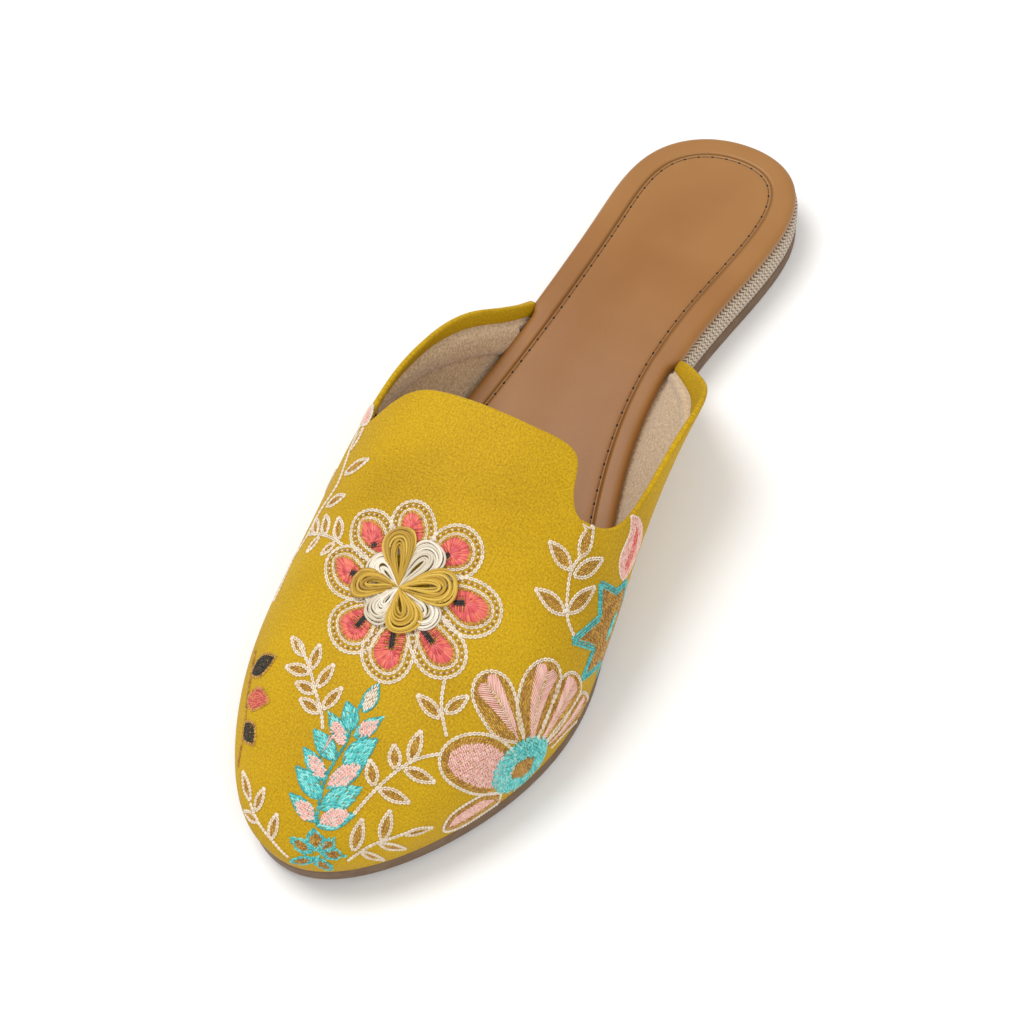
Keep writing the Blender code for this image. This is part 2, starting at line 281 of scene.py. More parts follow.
def ridge_side(x):
    """The ridge's y: swing plus a shift that fades straight from half length to the toe."""
    return swing(x) + RIDGE_SHIFT * (1 - np.clip(2 * x / LAST_LENGTH - 1, 0, 1))


def ridge_height(x):
    """A spline through the RIDGE table."""
    return curve(column(RIDGE, 0) * LAST_LENGTH, column(RIDGE, 1) * INSTEP_HEIGHT, x)


def skin(side, along, level):
    """The upper's outer face: superellipse arches from feather line to ridge, in by
    1 - cos(angle)^(2 / n) and up by sin(angle)^(2 / n), plus fullness straight out of the outline,
    which rises as a sine to FULLEST_LEVEL and falls as a squared cosine."""
    along, level = np.broadcast_arrays(np.asarray(along, float), np.asarray(level, float))
    x, y = outline(side, along, OVERHANG)
    out_x, out_y = outline(side, along, OVERHANG + NUDGE)
    ridge_x = ridge_plan(along)
    angle = np.pi / 2 * level
    inward = 1 - np.cos(angle)**(2 / RIDGE_ROUNDNESS)
    upward = np.sin(angle)**(2 / RIDGE_ROUNDNESS)
    rise = np.sin(np.pi / 2 * np.clip(level / FULLEST_LEVEL, 0, 1))
    fall = np.cos(np.pi / 2 * np.clip((level - FULLEST_LEVEL) / (1 - FULLEST_LEVEL), 0, 1))**2
    swell = np.where(level < FULLEST_LEVEL, rise, fall)
    swell = swell * BALL_WIDTH * curve(column(FULLNESS, 0), column(FULLNESS, 1 if side == OUTER else 2),
                                       along)
    px = x + (ridge_x - x) * inward + (out_x - x) / NUDGE * swell
    py = y + (ridge_side(ridge_x) - y) * inward + (out_y - y) / NUDGE * swell
    base = feather_height(LAST_LENGTH * along) + GAP
    return np.stack([px, py, base + (ridge_height(px) - base) * upward], -1)


def heel_origin():
    """The move from the shoe's own place to the frame's: back of the heel, centre line, floor."""
    low, high = (np.array(corner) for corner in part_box("outsole"))
    alongs = np.linspace(0, 1, FINE_SPOTS)
    left = outline(OUTER, alongs, 0)[1].min()
    right = outline(INNER, alongs, 0)[1].max()
    return np.array([low[0], (low[1] + high[1] - left - right) / 2, low[2]])


ORIGIN = heel_origin()


# The upper's grids and flat pattern

SPINE_TURN = 205 * MM
# Cloth.lay works through so many places at once, and looks so many mm round them
LAY_BATCH = 200
LAY_ROOM = 4.0


def unit(vectors):
    """Vectors divided by their lengths."""
    return vectors / np.maximum(np.linalg.norm(vectors, axis=-1, keepdims=True), 1e-12)


def cloth_of(points, normals):
    """Flat-pattern place of points on the skin, in mm. Each point is tied to the nearest spot of
    the ridge (its last spot ahead of SPINE_TURN) and laid out in the same direction seen from above,
    at the straight distance times (a / 2) / sin(a / 2), a being the angle the surface has turned."""
    x = np.minimum(points[..., 0], SPINE_TURN)
    spine = np.stack([x, ridge_side(x), ridge_height(x)], -1)
    reach = points - spine
    flat = reach[..., :2]
    turned = np.arccos(np.clip(normals[..., 2], -0.3, 1)) / 2
    length = np.linalg.norm(reach, axis=-1) * np.where(turned > 1e-3, turned / np.sin(turned + 1e-9), 1)
    direction = flat / np.maximum(np.linalg.norm(flat, axis=-1, keepdims=True), 1e-9)
    return (spine[..., :2] * [1, 0] + direction * length[..., None]) / MM


def collar_tables(side):
    """Evenly spread rows of one side's wing edge and tongue edge."""
    wing, tongue = (OUTER_WING, OUTER_TONGUE) if side == OUTER else (INNER_WING, INNER_TONGUE)
    return even_curve(wing, WING_COLUMNS), even_curve(tongue, TONGUE_ROWS)


def upper_params(side):
    """(along, level) grids of the upper: wing, vamp and half tongue, first index toward the toe."""
    wing, tongue = collar_tables(side)
    rows = np.linspace(0, 1, WING_ROWS + 1)
    notch_along, notch_level = tongue[0]
    levels = np.concatenate([notch_level * rows, tongue[1:, 1]])
    gate = notch_along + (GATE_AT_RIDGE - notch_along) * np.clip(
        (levels - notch_level) / (1 - notch_level), 0, 1)
    forward = np.linspace(0, 1, VAMP_COLUMNS + 1)[:, None]
    turns = turn_of(gate) + (np.pi - turn_of(gate)) * forward
    inner_tongue = collar_tables(INNER)[1]
    toe_levels = np.concatenate([inner_tongue[0, 1] * rows, inner_tongue[1:, 1]])
    shares = np.linspace(0, 1, TONGUE_COLUMNS + 1)[:, None]
    flap = tongue[:, 0] + (gate[WING_ROWS:] - tongue[:, 0]) * shares
    return [
        np.broadcast_arrays(wing[:, :1], wing[:, 1:] * rows),
        np.broadcast_arrays((1 - np.cos(turns)) / 2, levels + (toe_levels - levels) * forward),
        np.broadcast_arrays(flap, tongue[:, 1]),
    ]


def collar_params(side):
    """(along, level) along the collar, from the wing's rear end round the notch to the tongue."""
    wing, tongue = collar_tables(side)
    return np.concatenate([wing, tongue[1:]])


def slopes(grid):
    """Differences along a grid's two indices."""
    return np.gradient(grid, axis=0), np.gradient(grid, axis=1)


def grid_normals(side, points):
    """Unit cross product of the two slopes, turned outward."""
    down, across = slopes(points)
    return -side * unit(np.cross(down, across))


# Soft pulls and dents in the cloth: middle x, y in cloth mm, direction in
# degrees, length, width, and depth in mm, a ridge where the depth is negative.
PULL_GAIN = 2.4
PULLS = (
    (157.5, 27.5, 104, 14, 1.3, 0.12),
    (163.0, 22.5, 101, 20, 1.2, 0.14),
    (158.0, 12.0, 103, 30, 1.4, 0.10),
    (173.5, 27.5, 98, 18, 1.4, 0.12),
    (154.8, 23.4, 101, 12, 1.6, 0.22),
    (160.4, 18.3, 107, 26, 2.2, 0.30),
    (166.2, 2.8, 102, 25, 2.0, 0.20),
    (170.3, 19.5, 99, 17, 2.0, 0.22),
    (178.9, 22.2, 109, 9, 1.6, 0.16),
    (154.7, 22.4, 95, 24, 1.8, -0.16),
    (166.5, 14.2, 104, 30, 2.2, -0.16),
    (209.9, 23.0, 102, 17, 2.4, 0.16),
    (148.6, 20.5, 71, 13, 2.0, 0.18),
)


def pull_relief(cloth):
    """Minus the sum of depth * exp(-(across / width)^2 - (2 * lengthwise / length)^2), times a gain."""
    relief = np.zeros(cloth.shape[:-1])
    for x, y, angle, length, width, depth in PULLS:
        away = cloth - [x, y]
        c, s = np.cos(np.radians(angle)), np.sin(np.radians(angle))
        lengthwise, across = away[..., 0] * c + away[..., 1] * s, away[..., 1] * c - away[..., 0] * s
        relief -= depth * np.exp(-(across / width)**2 - (2 * lengthwise / length)**2)
    return relief * PULL_GAIN * MM


class Cloth:
    """The laid-out upper: for any place on the flat pattern, the point and normal on the shoe.

    Takes the nearest grid point and follows that point's own slopes for the rest of the way."""

    def __init__(self):
        self.blocks = []
        parts = []
        for side in (OUTER, INNER):
            for along, level in upper_params(side):
                points = skin(side, along, level)
                normals = grid_normals(side, points)
                cloth = cloth_of(points, normals)
                points = points + normals * pull_relief(cloth)[..., None]
                self.blocks.append((side, points, normals, cloth))
                arrays = [points, normals, cloth]
                arrays += [slope for grid in arrays for slope in slopes(grid)]
                parts.append([grid.reshape(-1, grid.shape[-1]) for grid in arrays])
        (self.points, self.normals, self.cloth, self.point_u, self.point_v, self.normal_u,
         self.normal_v, self.cloth_u, self.cloth_v) = [np.concatenate(arrays) for arrays in zip(*parts)]

    def lay(self, places, lift=0.0):
        """Points and normals for (n, 2) places in cloth mm, lifted off the cloth by lift metres."""
        places = np.asarray(places, float)
        flat = places.reshape(-1, 2)
        found = np.empty(len(flat), int)
        for start in range(0, len(flat), LAY_BATCH):
            part = flat[start:start + LAY_BATCH]
            near = np.flatnonzero(np.all((self.cloth > part.min(0) - LAY_ROOM)
                                         & (self.cloth < part.max(0) + LAY_ROOM), axis=1))
            gaps = ((part[:, None] - self.cloth[near][None])**2).sum(-1)
            found[start:start + LAY_BATCH] = near[gaps.argmin(1)]
        away = flat - self.cloth[found]
        a, b = self.cloth_u[found], self.cloth_v[found]
        area = a[:, 0] * b[:, 1] - a[:, 1] * b[:, 0]
        area = np.where(np.abs(area) < 1e-4, 1e-4, area)
        u = ((away[:, 0] * b[:, 1] - away[:, 1] * b[:, 0]) / area)[:, None]
        v = ((a[:, 0] * away[:, 1] - a[:, 1] * away[:, 0]) / area)[:, None]
        points = self.points[found] + u * self.point_u[found] + v * self.point_v[found]
        normals = unit(self.normals[found] + u * self.normal_u[found] + v * self.normal_v[found])
        lift = np.broadcast_to(lift, places.shape[:-1]).reshape(-1, 1)
        return ((points + normals * lift).reshape(places.shape[:-1] + (3,)),
                normals.reshape(places.shape[:-1] + (3,)))


# Meshes

WELD = 0.01 * MM


def grid_faces(rows, columns, start=0, flip=False, closed=False):
    """Quads of a grid of points, the last row joined to the first where it is closed."""
    index = start + np.arange(rows * columns).reshape(rows, columns)
    if closed:
        index = np.concatenate([index, index[:1]])
    quads = np.stack([index[:-1, :-1], index[1:, :-1], index[1:, 1:], index[:-1, 1:]], -1).reshape(-1, 4)
    return quads[:, ::-1] if flip else quads


def make_piece(name, points, faces, material, cloth=None, tone=None, weld=WELD):
    """One object from points in the shoe's own place and lists of faces, smooth, riding the shoe."""
    mesh = bpy.data.meshes.new(name)
    faces = [np.asarray(part) for part in faces if len(part)]
    corners = np.concatenate([part.ravel() for part in faces])
    sizes = np.concatenate([np.full(len(part), part.shape[1]) for part in faces])
    points = np.asarray(points, float).reshape(-1, 3) + ORIGIN
    mesh.vertices.add(len(points))
    mesh.vertices.foreach_set("co", points.ravel())
    mesh.loops.add(len(corners))
    mesh.loops.foreach_set("vertex_index", corners.astype(np.int32))
    mesh.polygons.add(len(sizes))
    mesh.polygons.foreach_set("loop_start", np.concatenate([[0], np.cumsum(sizes)[:-1]]).astype(np.int32))
    mesh.update(calc_edges=True)
    if cloth is not None:
        places = (np.asarray(cloth).reshape(-1, 2) * MM)[corners]
        mesh.uv_layers.new(name="cloth").data.foreach_set("uv", places.astype(np.float32).ravel())
    if tone is not None:
        layer = mesh.attributes.new("tone", "FLOAT", "POINT")
        layer.data.foreach_set("value", np.asarray(tone, np.float32).ravel())
    if weld:
        work = bmesh.new()
        work.from_mesh(mesh)
        bmesh.ops.remove_doubles(work, verts=work.verts, dist=weld)
        work.to_mesh(mesh)
        work.free()
    mesh.validate()
    mesh.shade_smooth()
    piece = bpy.data.objects.new(name, mesh)
    bpy.context.scene.collection.objects.link(piece)
    mesh.materials.append(material)
    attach(piece, "root")
    return piece


# Materials


def linear(hex_colour):
    """An sRGB hex colour as linear red, green, blue and 1."""
    values = np.array([int(hex_colour[k:k + 2], 16) for k in (1, 3, 5)]) / 255
    values = np.where(values <= 0.04045, values / 12.92, ((values + 0.055) / 1.055)**2.4)
    return (*values.tolist(), 1.0)


def add(tree, kind, inputs=None, **settings):
    """Adds a node with its settings; an input's value is a number, a colour or another's output."""
    node = tree.nodes.new("ShaderNode" + kind)
    for name, value in settings.items():
        setattr(node, name, value)
    for key, value in (inputs or {}).items():
        if isinstance(value, bpy.types.NodeSocket):
            tree.links.new(value, node.inputs[key])
        else:
            node.inputs[key].default_value = value
    return node


def new_material(name, roughness, **inputs):
    """A material and its shader, with the sockets that are the same all over set on the shader."""
    material = bpy.data.materials.new(name)
    material.use_nodes = True
    shader = material.node_tree.nodes["Principled BSDF"]
    shader.inputs["Roughness"].default_value = roughness
    for key, value in inputs.items():
        shader.inputs[key.replace("_", " ")].default_value = value
    return material, material.node_tree, shader


def ramp(tree, value, *stops):
    """Colours blended by a value: stops are (place, hex colour)."""
    node = add(tree, "ValToRGB", {"Fac": value})
    elements = node.color_ramp.elements
    elements[0].position, elements[0].color = stops[0][0], linear(stops[0][1])
    elements[1].position, elements[1].color = stops[-1][0], linear(stops[-1][1])
    for place, colour in stops[1:-1]:
        element = elements.new(place)
        element.color = linear(colour)
    return node.outputs["Color"]


def noise(tree, place, scale, detail, **settings):
    """Noise at a place, its scale per metre."""
    inputs = {"Vector": place, "Scale": scale, "Detail": detail, **settings}
    return add(tree, "TexNoise", inputs).outputs["Fac"]


def blend(tree, first, second, share):
    """Two values blended, the share being the second's."""
    inputs = {"Factor": share, "A": first, "B": second}
    return add(tree, "Mix", inputs, data_type="FLOAT").outputs[0]


def reckon(tree, operation, *values):
    """One sum of the node tree."""
    return add(tree, "Math", dict(enumerate(values)), operation=operation).outputs[0]


def dress(tree, shader, colour, height, strength, distance):
    """Links a colour, and a bump of a height, to a shader."""
    bump = add(tree, "Bump", {"Strength": strength, "Distance": distance, "Height": height})
    tree.links.new(colour, shader.inputs["Base Color"])
    tree.links.new(bump.outputs["Normal"], shader.inputs["Normal"])


# Webbing: a dash's pitch, a row's height, and how far a dash leans, in pitches a row
DASH = 1.35 * MM
DASH_ROW = 1.3 * MM
DASH_LEAN = 0.8


def mustard_cloth():
    """Silk and cotton cloth, plain woven: soft low sheen, fine grain, a few thick threads. The
    threads, 0.2 mm apart on the shoe, are drawn about twice as coarse, so that they show."""
    material, tree, shader = new_material("mustard_silk_cotton", 0.68, IOR=1.5, Sheen_Weight=0.02,
                                          Sheen_Roughness=0.5, Specular_IOR_Level=0.22,
                                          Sheen_Tint=linear("#F2D24A"))
    place = add(tree, "UVMap", uv_map="cloth").outputs["UV"]
    slub_place = add(tree, "Mapping", {"Vector": place, "Scale": (2200.0, 260.0, 1.0)}).outputs["Vector"]
    slubs = noise(tree, slub_place, 1.0, 2.0)
    grain = noise(tree, place, 1900.0, 2.0, Roughness=0.6)
    patches = noise(tree, place, 28.0, 2.0)
    mixed = blend(tree, blend(tree, patches, slubs, 0.3), grain, 0.6)
    colour = ramp(tree, mixed, (0.34, "#987500"), (0.5, "#B68F04"), (0.66, "#CCA70E"))
    dress(tree, shader, colour, reckon(tree, "MULTIPLY_ADD", slubs, 0.4, grain), 0.45, 0.16 * MM)
    return material


def beige_lining():
    """Brushed microfibre lining: matt, short nap, mottled."""
    material, tree, shader = new_material("beige_brushed_lining", 0.9, Sheen_Weight=0.4,
                                          Sheen_Roughness=0.6)
    nap = noise(tree, add(tree, "TexCoord").outputs["Object"], 1500.0, 3.0, Roughness=0.7)
    colour = ramp(tree, nap, (0.33, "#A3845C"), (0.52, "#C5A780"), (0.68, "#DCC29C"))
    dress(tree, shader, colour, nap, 0.35, 0.15 * MM)
    return material


def tan_sock():
    """Smooth coated leather with a faint pebble grain: satin, with a soft clear top coat."""
    material, tree, shader = new_material("tan_coated_leather", 0.45, IOR=1.5, Coat_Weight=0.03,
                                          Coat_Roughness=0.3)
    place = add(tree, "TexCoord").outputs["Object"]
    pebble = add(tree, "TexVoronoi", {"Vector": place, "Scale": 1100.0}).outputs["Distance"]
    colour = ramp(tree, noise(tree, place, 22.0, 3.0), (0.3, "#895720"), (0.5, "#936129"), (0.7, "#9C6B33"))
    dress(tree, shader, colour, pebble, 0.12, 0.1 * MM)
    return material


def woven_wedge():
    """Cotton webbing in two colours, its dashes drawn coarser than the real ones. Slanted dashes
    in herringbone rows: the sine of u / DASH + DASH_LEAN * pingpong(v / DASH_ROW) in turns, with u
    along the band and v up it."""
    material, tree, shader = new_material("beige_webbing", 0.85, Sheen_Weight=0.2)
    place = add(tree, "SeparateXYZ", {"Vector": add(tree, "UVMap", uv_map="cloth").outputs["UV"]})
    along = reckon(tree, "MULTIPLY", place.outputs["X"], 1 / DASH)
    zigzag = reckon(tree, "PINGPONG", reckon(tree, "MULTIPLY", place.outputs["Y"], 1 / DASH_ROW), 1.0)
    phase = reckon(tree, "MULTIPLY_ADD", zigzag, DASH_LEAN, along)
    wave = reckon(tree, "SINE", reckon(tree, "MULTIPLY", phase, 2 * np.pi))
    dashes = reckon(tree, "MULTIPLY_ADD", wave, 0.5, 0.5)
    colour = ramp(tree, dashes, (0.12, "#6B5145"), (0.34, "#A08A74"), (0.55, "#CBB99E"))
    dress(tree, shader, colour, dashes, 0.8, 0.25 * MM)
    return material


def brown_sole():
    """Moulded thermoplastic rubber: matt, even, with a faint cloudiness."""
    material, tree, shader = new_material("brown_moulded_rubber", 0.58, IOR=1.5)
    cloud = noise(tree, add(tree, "TexCoord").outputs["Object"], 260.0, 3.0)
    colour = ramp(tree, cloud, (0.3, "#654B33"), (0.5, "#6C5239"), (0.7, "#735A42"))
    dress(tree, shader, colour, cloud, 0.15, 0.2 * MM)
    return material


# Upper

# Folded collar: (distance from the edge into the cloth, height off the skin) in mm, from the outer
# face over the top and down the inside into the groove.
COLLAR_FOLD = ((0.0, 0.0), (-0.22, -0.10), (-0.42, -0.32), (-0.54, -0.62), (-0.56, -0.95), (-0.46, -1.25),
               (-0.22, -1.50), (0.15, -1.66), (0.7, -1.75), (1.4, -1.80), (2.1, -1.80), (2.7, -1.74),
               (3.1, -1.58), (3.35, -1.30), (3.45, -0.95), (3.50, -0.6))
# Lining's turned edge beside the groove, the same pairs
LINING_EDGE = ((3.90, -0.7), (3.94, -1.2), (4.06, -1.70), (4.33, -2.02), (4.8, -2.12), (5.25, -2.04),
               (5.65, -1.80), (6.05, -1.50), (6.3, -1.2))
LINING_DEPTH = 1.45 * MM
FOLD_DEPTH = 1.8 * MM
END_BULGE = 0.3 * MM
SMALL_STEP = 1e-4
# Margins that turn in under the foot line, in mm
CLOTH_MARGIN = 1.5
LINING_MARGIN = 4.0
# Columns from a wing's rear end over which the fold comes to stand out beyond the edge
THINNED = 9
# Padded band under the top of the outer wing's lining: the same pairs, and its columns
PADDED_FROM = 6
PADDED_TO = WING_COLUMNS - 12
PADDED_BAND = ((3.90, -0.7), (3.94, -1.3), (4.08, -1.9), (4.43, -2.40), (5.1, -2.80), (6.1, -3.05),
               (7.4, -3.15), (8.8, -3.1), (9.7, -2.9), (10.3, -2.45), (10.6, -1.8), (10.7, -1.3))


def collar_frame(side):
    """Collar line in cloth mm, and the unit direction there that points into the cloth."""
    params = collar_params(side)
    flat = cloth_of_params(side, params)
    run = unit(np.gradient(flat, axis=0))
    into = np.stack([-run[:, 1], run[:, 0]], -1) * side
    into[-1] = (1, 0)
    return flat, into


def cloth_of_params(side, params):
    """Cloth place of (along, level) pairs, with the normal from small steps on the skin."""
    along, level = params[:, 0], params[:, 1]
    level_step = np.where(level > 0.5, -SMALL_STEP, SMALL_STEP)
    point = skin(side, along, level)
    ahead = skin(side, along + SMALL_STEP, level) - point
    up = (skin(side, along, level + level_step) - point) * np.sign(level_step)[:, None]
    return cloth_of(point, -side * unit(np.cross(ahead, up)))


def collar_strip(cloth, side, profile, first=0, last=None):
    """The profile's (into, off) pairs carried along the collar: cloth place = line + into * d,
    raised off the skin along its normal."""
    flat, into = collar_frame(side)
    flat, into = flat[first:last], into[first:last]
    profile = np.array(profile)
    full = smooth_step((first + np.arange(len(flat))) / THINNED)[:, None]
    reach = np.where(profile[:, 0] < 0, profile[:, 0] * full, profile[:, 0])
    places = flat[:, None] + into[:, None] * reach[..., None]
    points, _ = cloth.lay(places, np.broadcast_to(profile[:, 1] * MM, places.shape[:2]))
    return points, places


def join(parts):
    """Points, faces and cloth places of several grids as one: a part is (points, cloth, flip)."""
    points, faces, places = [], [], []
    count = 0
    for grid, flat, flip in parts:
        rows, columns = grid.shape[:2]
        faces.append(grid_faces(rows, columns, count, flip))
        points.append(grid.reshape(-1, 3))
        places.append(flat.reshape(-1, 2))
        count += rows * columns
    return np.concatenate(points), faces, np.concatenate(places)


def turned_under(foot, normals, reach):
    """Three rows from reach mm inside the foot line, a little lower, out to the foot line."""
    inward = unit(normals * [1, 1, 0]) * reach * MM
    return np.stack([foot - inward * k - [0, 0, 0.15 * MM * k] for k in (1, 0.4, 0)], 1)


def wing_end(points, normals):
    """Five columns round a wing's upright rear edge, outer face to lining, bulging back by the
    sine of the share of the way round."""
    back = unit(points[0] - points[1])
    return np.stack([points[0] - normals[0] * FOLD_DEPTH * k + back * END_BULGE * np.sin(np.pi * k)
                     for k in np.linspace(0, 1, 5)], 1)


def make_upper_cloth(cloth, material):
    """Outer face, collar fold, and the margin that turns in under the feather line."""
    parts = [(points, flat, side == INNER) for side, points, _, flat in cloth.blocks]
    for side, points, normals, flat in cloth.blocks:
        if points.shape[0] == TONGUE_COLUMNS + 1:
            continue
        parts.append((turned_under(points[:, 0], normals[:, 0], CLOTH_MARGIN),
                      np.repeat(flat[:, :1], 3, 1), side == INNER))
        if points.shape[0] == WING_COLUMNS + 1:
            parts.append((wing_end(points, normals), np.repeat(flat[0][:, None], 5, 1), side == INNER))
    for side in (OUTER, INNER):
        points, places = collar_strip(cloth, side, COLLAR_FOLD)
        parts.append((points, places, side == INNER))
    points, faces, places = join(parts)
    piece = make_piece("upper_cloth", points, faces, material, places)
    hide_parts("upper")


def make_lining(cloth, material):
    """Inner face at the lining's depth, its turned edge, and the padded band on the outer wing."""
    parts = [(points - normals * LINING_DEPTH, flat, side == OUTER)
             for side, points, normals, flat in cloth.blocks]
    for side, points, normals, flat in cloth.blocks:
        if points.shape[0] != TONGUE_COLUMNS + 1:
            foot = (points - normals * LINING_DEPTH)[:, 0]
            parts.append((turned_under(foot, normals[:, 0], LINING_MARGIN),
                          np.repeat(flat[:, :1], 3, 1), side == OUTER))
    for side in (OUTER, INNER):
        points, places = collar_strip(cloth, side, LINING_EDGE)
        parts.append((points, places, side == INNER))
        if side == OUTER:
            points, places = collar_strip(cloth, side, PADDED_BAND, PADDED_FROM, PADDED_TO)
            parts.append((points, places, side == INNER))
    points, faces, places = join(parts)
    piece = make_piece("upper_lining", points, faces, material, places)
    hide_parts("upper")


# Bottom

# Loops follow the outline as far in as FAN_START and fan in from there to the spine
FAN_START = 0.012
SPINE_BACK = 0.14
SPINE_FRONT = 0.88
MID_SHOE = 0.5


def loop_alongs():
    """Stations of one side of a loop, heel to toe: (1 - cos turn) / 2 at even turns."""
    return (1 - np.cos(np.linspace(0, np.pi, LOOP_POINTS + 1))) / 2


def outline_loop(offset):
    """Closed loop of the outline moved outward by offset, one number or one for each station:
    outer side to the toe, inner side back."""
    outer, inner = (np.stack(outline(side, loop_alongs(), offset), -1) for side in (OUTER, INNER))
    return np.concatenate([outer, inner[-2:0:-1]])


def spine_loop():
    """For each loop point, the spot of the middle line it fans in to."""
    base = outline_loop(-FAN_START)
    x = np.clip(base[:, 0], SPINE_BACK * LAST_LENGTH, SPINE_FRONT * LAST_LENGTH)
    left = outline(OUTER, x / LAST_LENGTH, 0)[1]
    right = outline(INNER, x / LAST_LENGTH, 0)[1]
    return np.stack([x, (left + right) / 2], -1)


def inset_loops(insets):
    """Loops at insets from the outline; one past FAN_START is 1 plus a share of the way to the
    spine."""
    spine = spine_loop()
    base = outline_loop(-FAN_START)
    loops = []
    for reach in insets:
        if reach <= FAN_START:
            loops.append(outline_loop(-reach))
        else:
            loops.append(base + (spine - base) * (reach - 1))
    return np.stack(loops, 1)


def run_of(loop):
    """Length along a closed loop at each of its points, in mm."""
    steps = np.linalg.norm(np.diff(loop, axis=0, append=loop[:1]), axis=-1)
    return np.concatenate([[0], np.cumsum(steps)[:-1]]) / MM


# Rolled edge of the sock: (inset, height off its top) in mm
SOCK_ROLL = ((0.9, -3.1), (0.35, -2.9), (-0.10, -2.4), (-0.25, -1.8), (-0.15, -1.15), (0.20, -0.60),
             (0.75, -0.22), (1.5, -0.03), (2.5, 0.03), (4.0, 0.0), (5.5, -0.06), (6.8, -0.12))
# Stitched channel: (distance from the line of stitches, height) in mm, and the same beyond it
SOCK_CHANNEL = ((-0.75, -0.14), (-0.45, -0.18), (-0.2, -0.27), (0, -0.32), (0.2, -0.27), (0.45, -0.18),
                (0.75, -0.14))
CHANNEL_END = 10.5 * MM
SOCK_DIP = 0.6 * MM
STITCH_INSET = 8.3 * MM
HOLE_STEP = 4.0


def make_sock(material):
    """Padded sock: the roll, the stitched channel, and a middle dished by a smooth step."""
    roll = np.array(SOCK_ROLL) * MM
    channel = np.array(SOCK_CHANNEL) * MM
    fan = np.linspace(0.08, 1, 13)
    insets = np.concatenate([roll[:, 0] + INSOLE_INSET, STITCH_INSET + channel[:, 0],
                             [CHANNEL_END, FAN_START], 1 + fan])
    heights = np.concatenate([roll[:, 1], channel[:, 1], [-0.18 * MM, -0.22 * MM],
                              -0.22 * MM - SOCK_DIP * smooth_step(fan)])
    loops = inset_loops(insets)
    beside_wings = smooth_step((loop_alongs() - OUTER_WING[0][0]) / INSOLE_STEP_RUN)
    drawn = (INSOLE_FRONT_INSET - INSOLE_INSET) * beside_wings
    for k, reach in enumerate(roll[:, 0]):
        loops[:, k] = outline_loop(-reach - INSOLE_INSET - drawn * np.clip(1 - reach / roll[-1, 0], 0, 1))
    z = feather_height(loops[..., 0]) + INSOLE_THICKNESS + heights
    points = np.concatenate([loops, z[..., None]], -1)
    rows, columns = points.shape[:2]
    piece = make_piece("sock", points, [grid_faces(rows, columns, 0, False, True)], material, loops / MM)
    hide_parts("insole")


def make_sock_stitches(hole_shade_finish, sock_finish):
    """Painted shade of the needle holes: near-black dashes every HOLE_STEP in the channel, and a low
    thread from each to the next. Sizes in mm: shift along in steps, length, width, height, and depth
    below the sock's top."""
    loop = outline_loop(-STITCH_INSET)
    run = run_of(loop)
    total = run[-1] + np.linalg.norm(loop[0] - loop[-1]) / MM
    count = int(total / HOLE_STEP)
    ring = closed(loop)
    steps = STITCH_STEPS[None] - 0.5
    for name, finish, shift, length, width, height, sunk in (
            # painted shade: near-black dashes that stand for the dark inside of the needle holes
            ("hole_shade_marks", hole_shade_finish, 0.0, 1.1, 0.62, 0.08, 0.27),
            ("sock_thread", sock_finish, 0.5, 3.0, 0.40, 0.12, 0.29)):
        spots = ((np.arange(count)[:, None] + shift) * total / count + steps * length) % total
        flat = np.stack([np.interp(spots, np.append(run, total), ring[:, k]) for k in (0, 1)], -1)
        z = feather_height(flat[..., 0]) + INSOLE_THICKNESS - sunk * MM
        axes = np.concatenate([flat, z[..., None]], -1)
        normals = np.broadcast_to([0.0, 0.0, 1.0], axes.shape)
        points, faces, _ = strands(axes, normals, np.full(count, width * MM), np.full(count, height * MM),
                                   STITCH_SHAPE)
        make_piece(name, points, faces, finish, weld=0)


# Webbing band: (share of the wedge's height, inset in mm) up its section
BAND_SECTION = ((0.0, 1.6), (0.02, 0.5), (0.10, 0.05), (0.3, -0.12), (0.55, -0.15), (0.8, -0.08),
                (0.93, 0.10), (1.0, 0.6), (1.0, 6.0))
# Where the weave is counted from, in mm, so that no place on the band is negative
WEAVE_START = 400.0


def make_wedge_band(material):
    """Webbing round the wedge: a soft upright band whose top and bottom edges turn in."""
    share, reaches = np.array(BAND_SECTION).T
    loops = np.stack([outline_loop(-reach * MM) for reach in reaches], 1)
    low = SOLE_THICKNESS + ground_lift(loops[..., 0])
    high = feather_height(loops[..., 0])
    z = low + (high - low) * share
    points = np.concatenate([loops, z[..., None]], -1)
    run = run_of(loops[:, 3])
    run = WEAVE_START + np.where(run > run[-1] / 2, run - run[-1] - run[1], run)
    up = (z - low) / MM + np.maximum(reaches, 0) * share
    places = np.stack(np.broadcast_arrays(run[:, None], up), -1)
    back = loops[:, 3, 0] < MID_SHOE * LAST_LENGTH
    rows, columns = points.shape[:2]
    faces = grid_faces(rows, columns, 0, False, True)
    faces = faces[back[faces[:, 0] // columns] & back[faces[:, 1] // columns]]
    piece = make_piece("wedge_webbing", points, [faces], material, places)
    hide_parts("heel_wedge")


# Edge of the sole: (inset in mm, share of its thickness) from the underside up and over
SOLE_EDGE = ((0.9, 0.0), (0.35, 0.03), (0.08, 0.10), (0.0, 0.22), (0.0, 0.5), (0.0, 0.78), (0.12, 0.9),
             (0.4, 0.97), (1.0, 1.0), (6.0, 1.0))
UNDERSIDE_INSETS = (0.008, 0.004, 0.002)


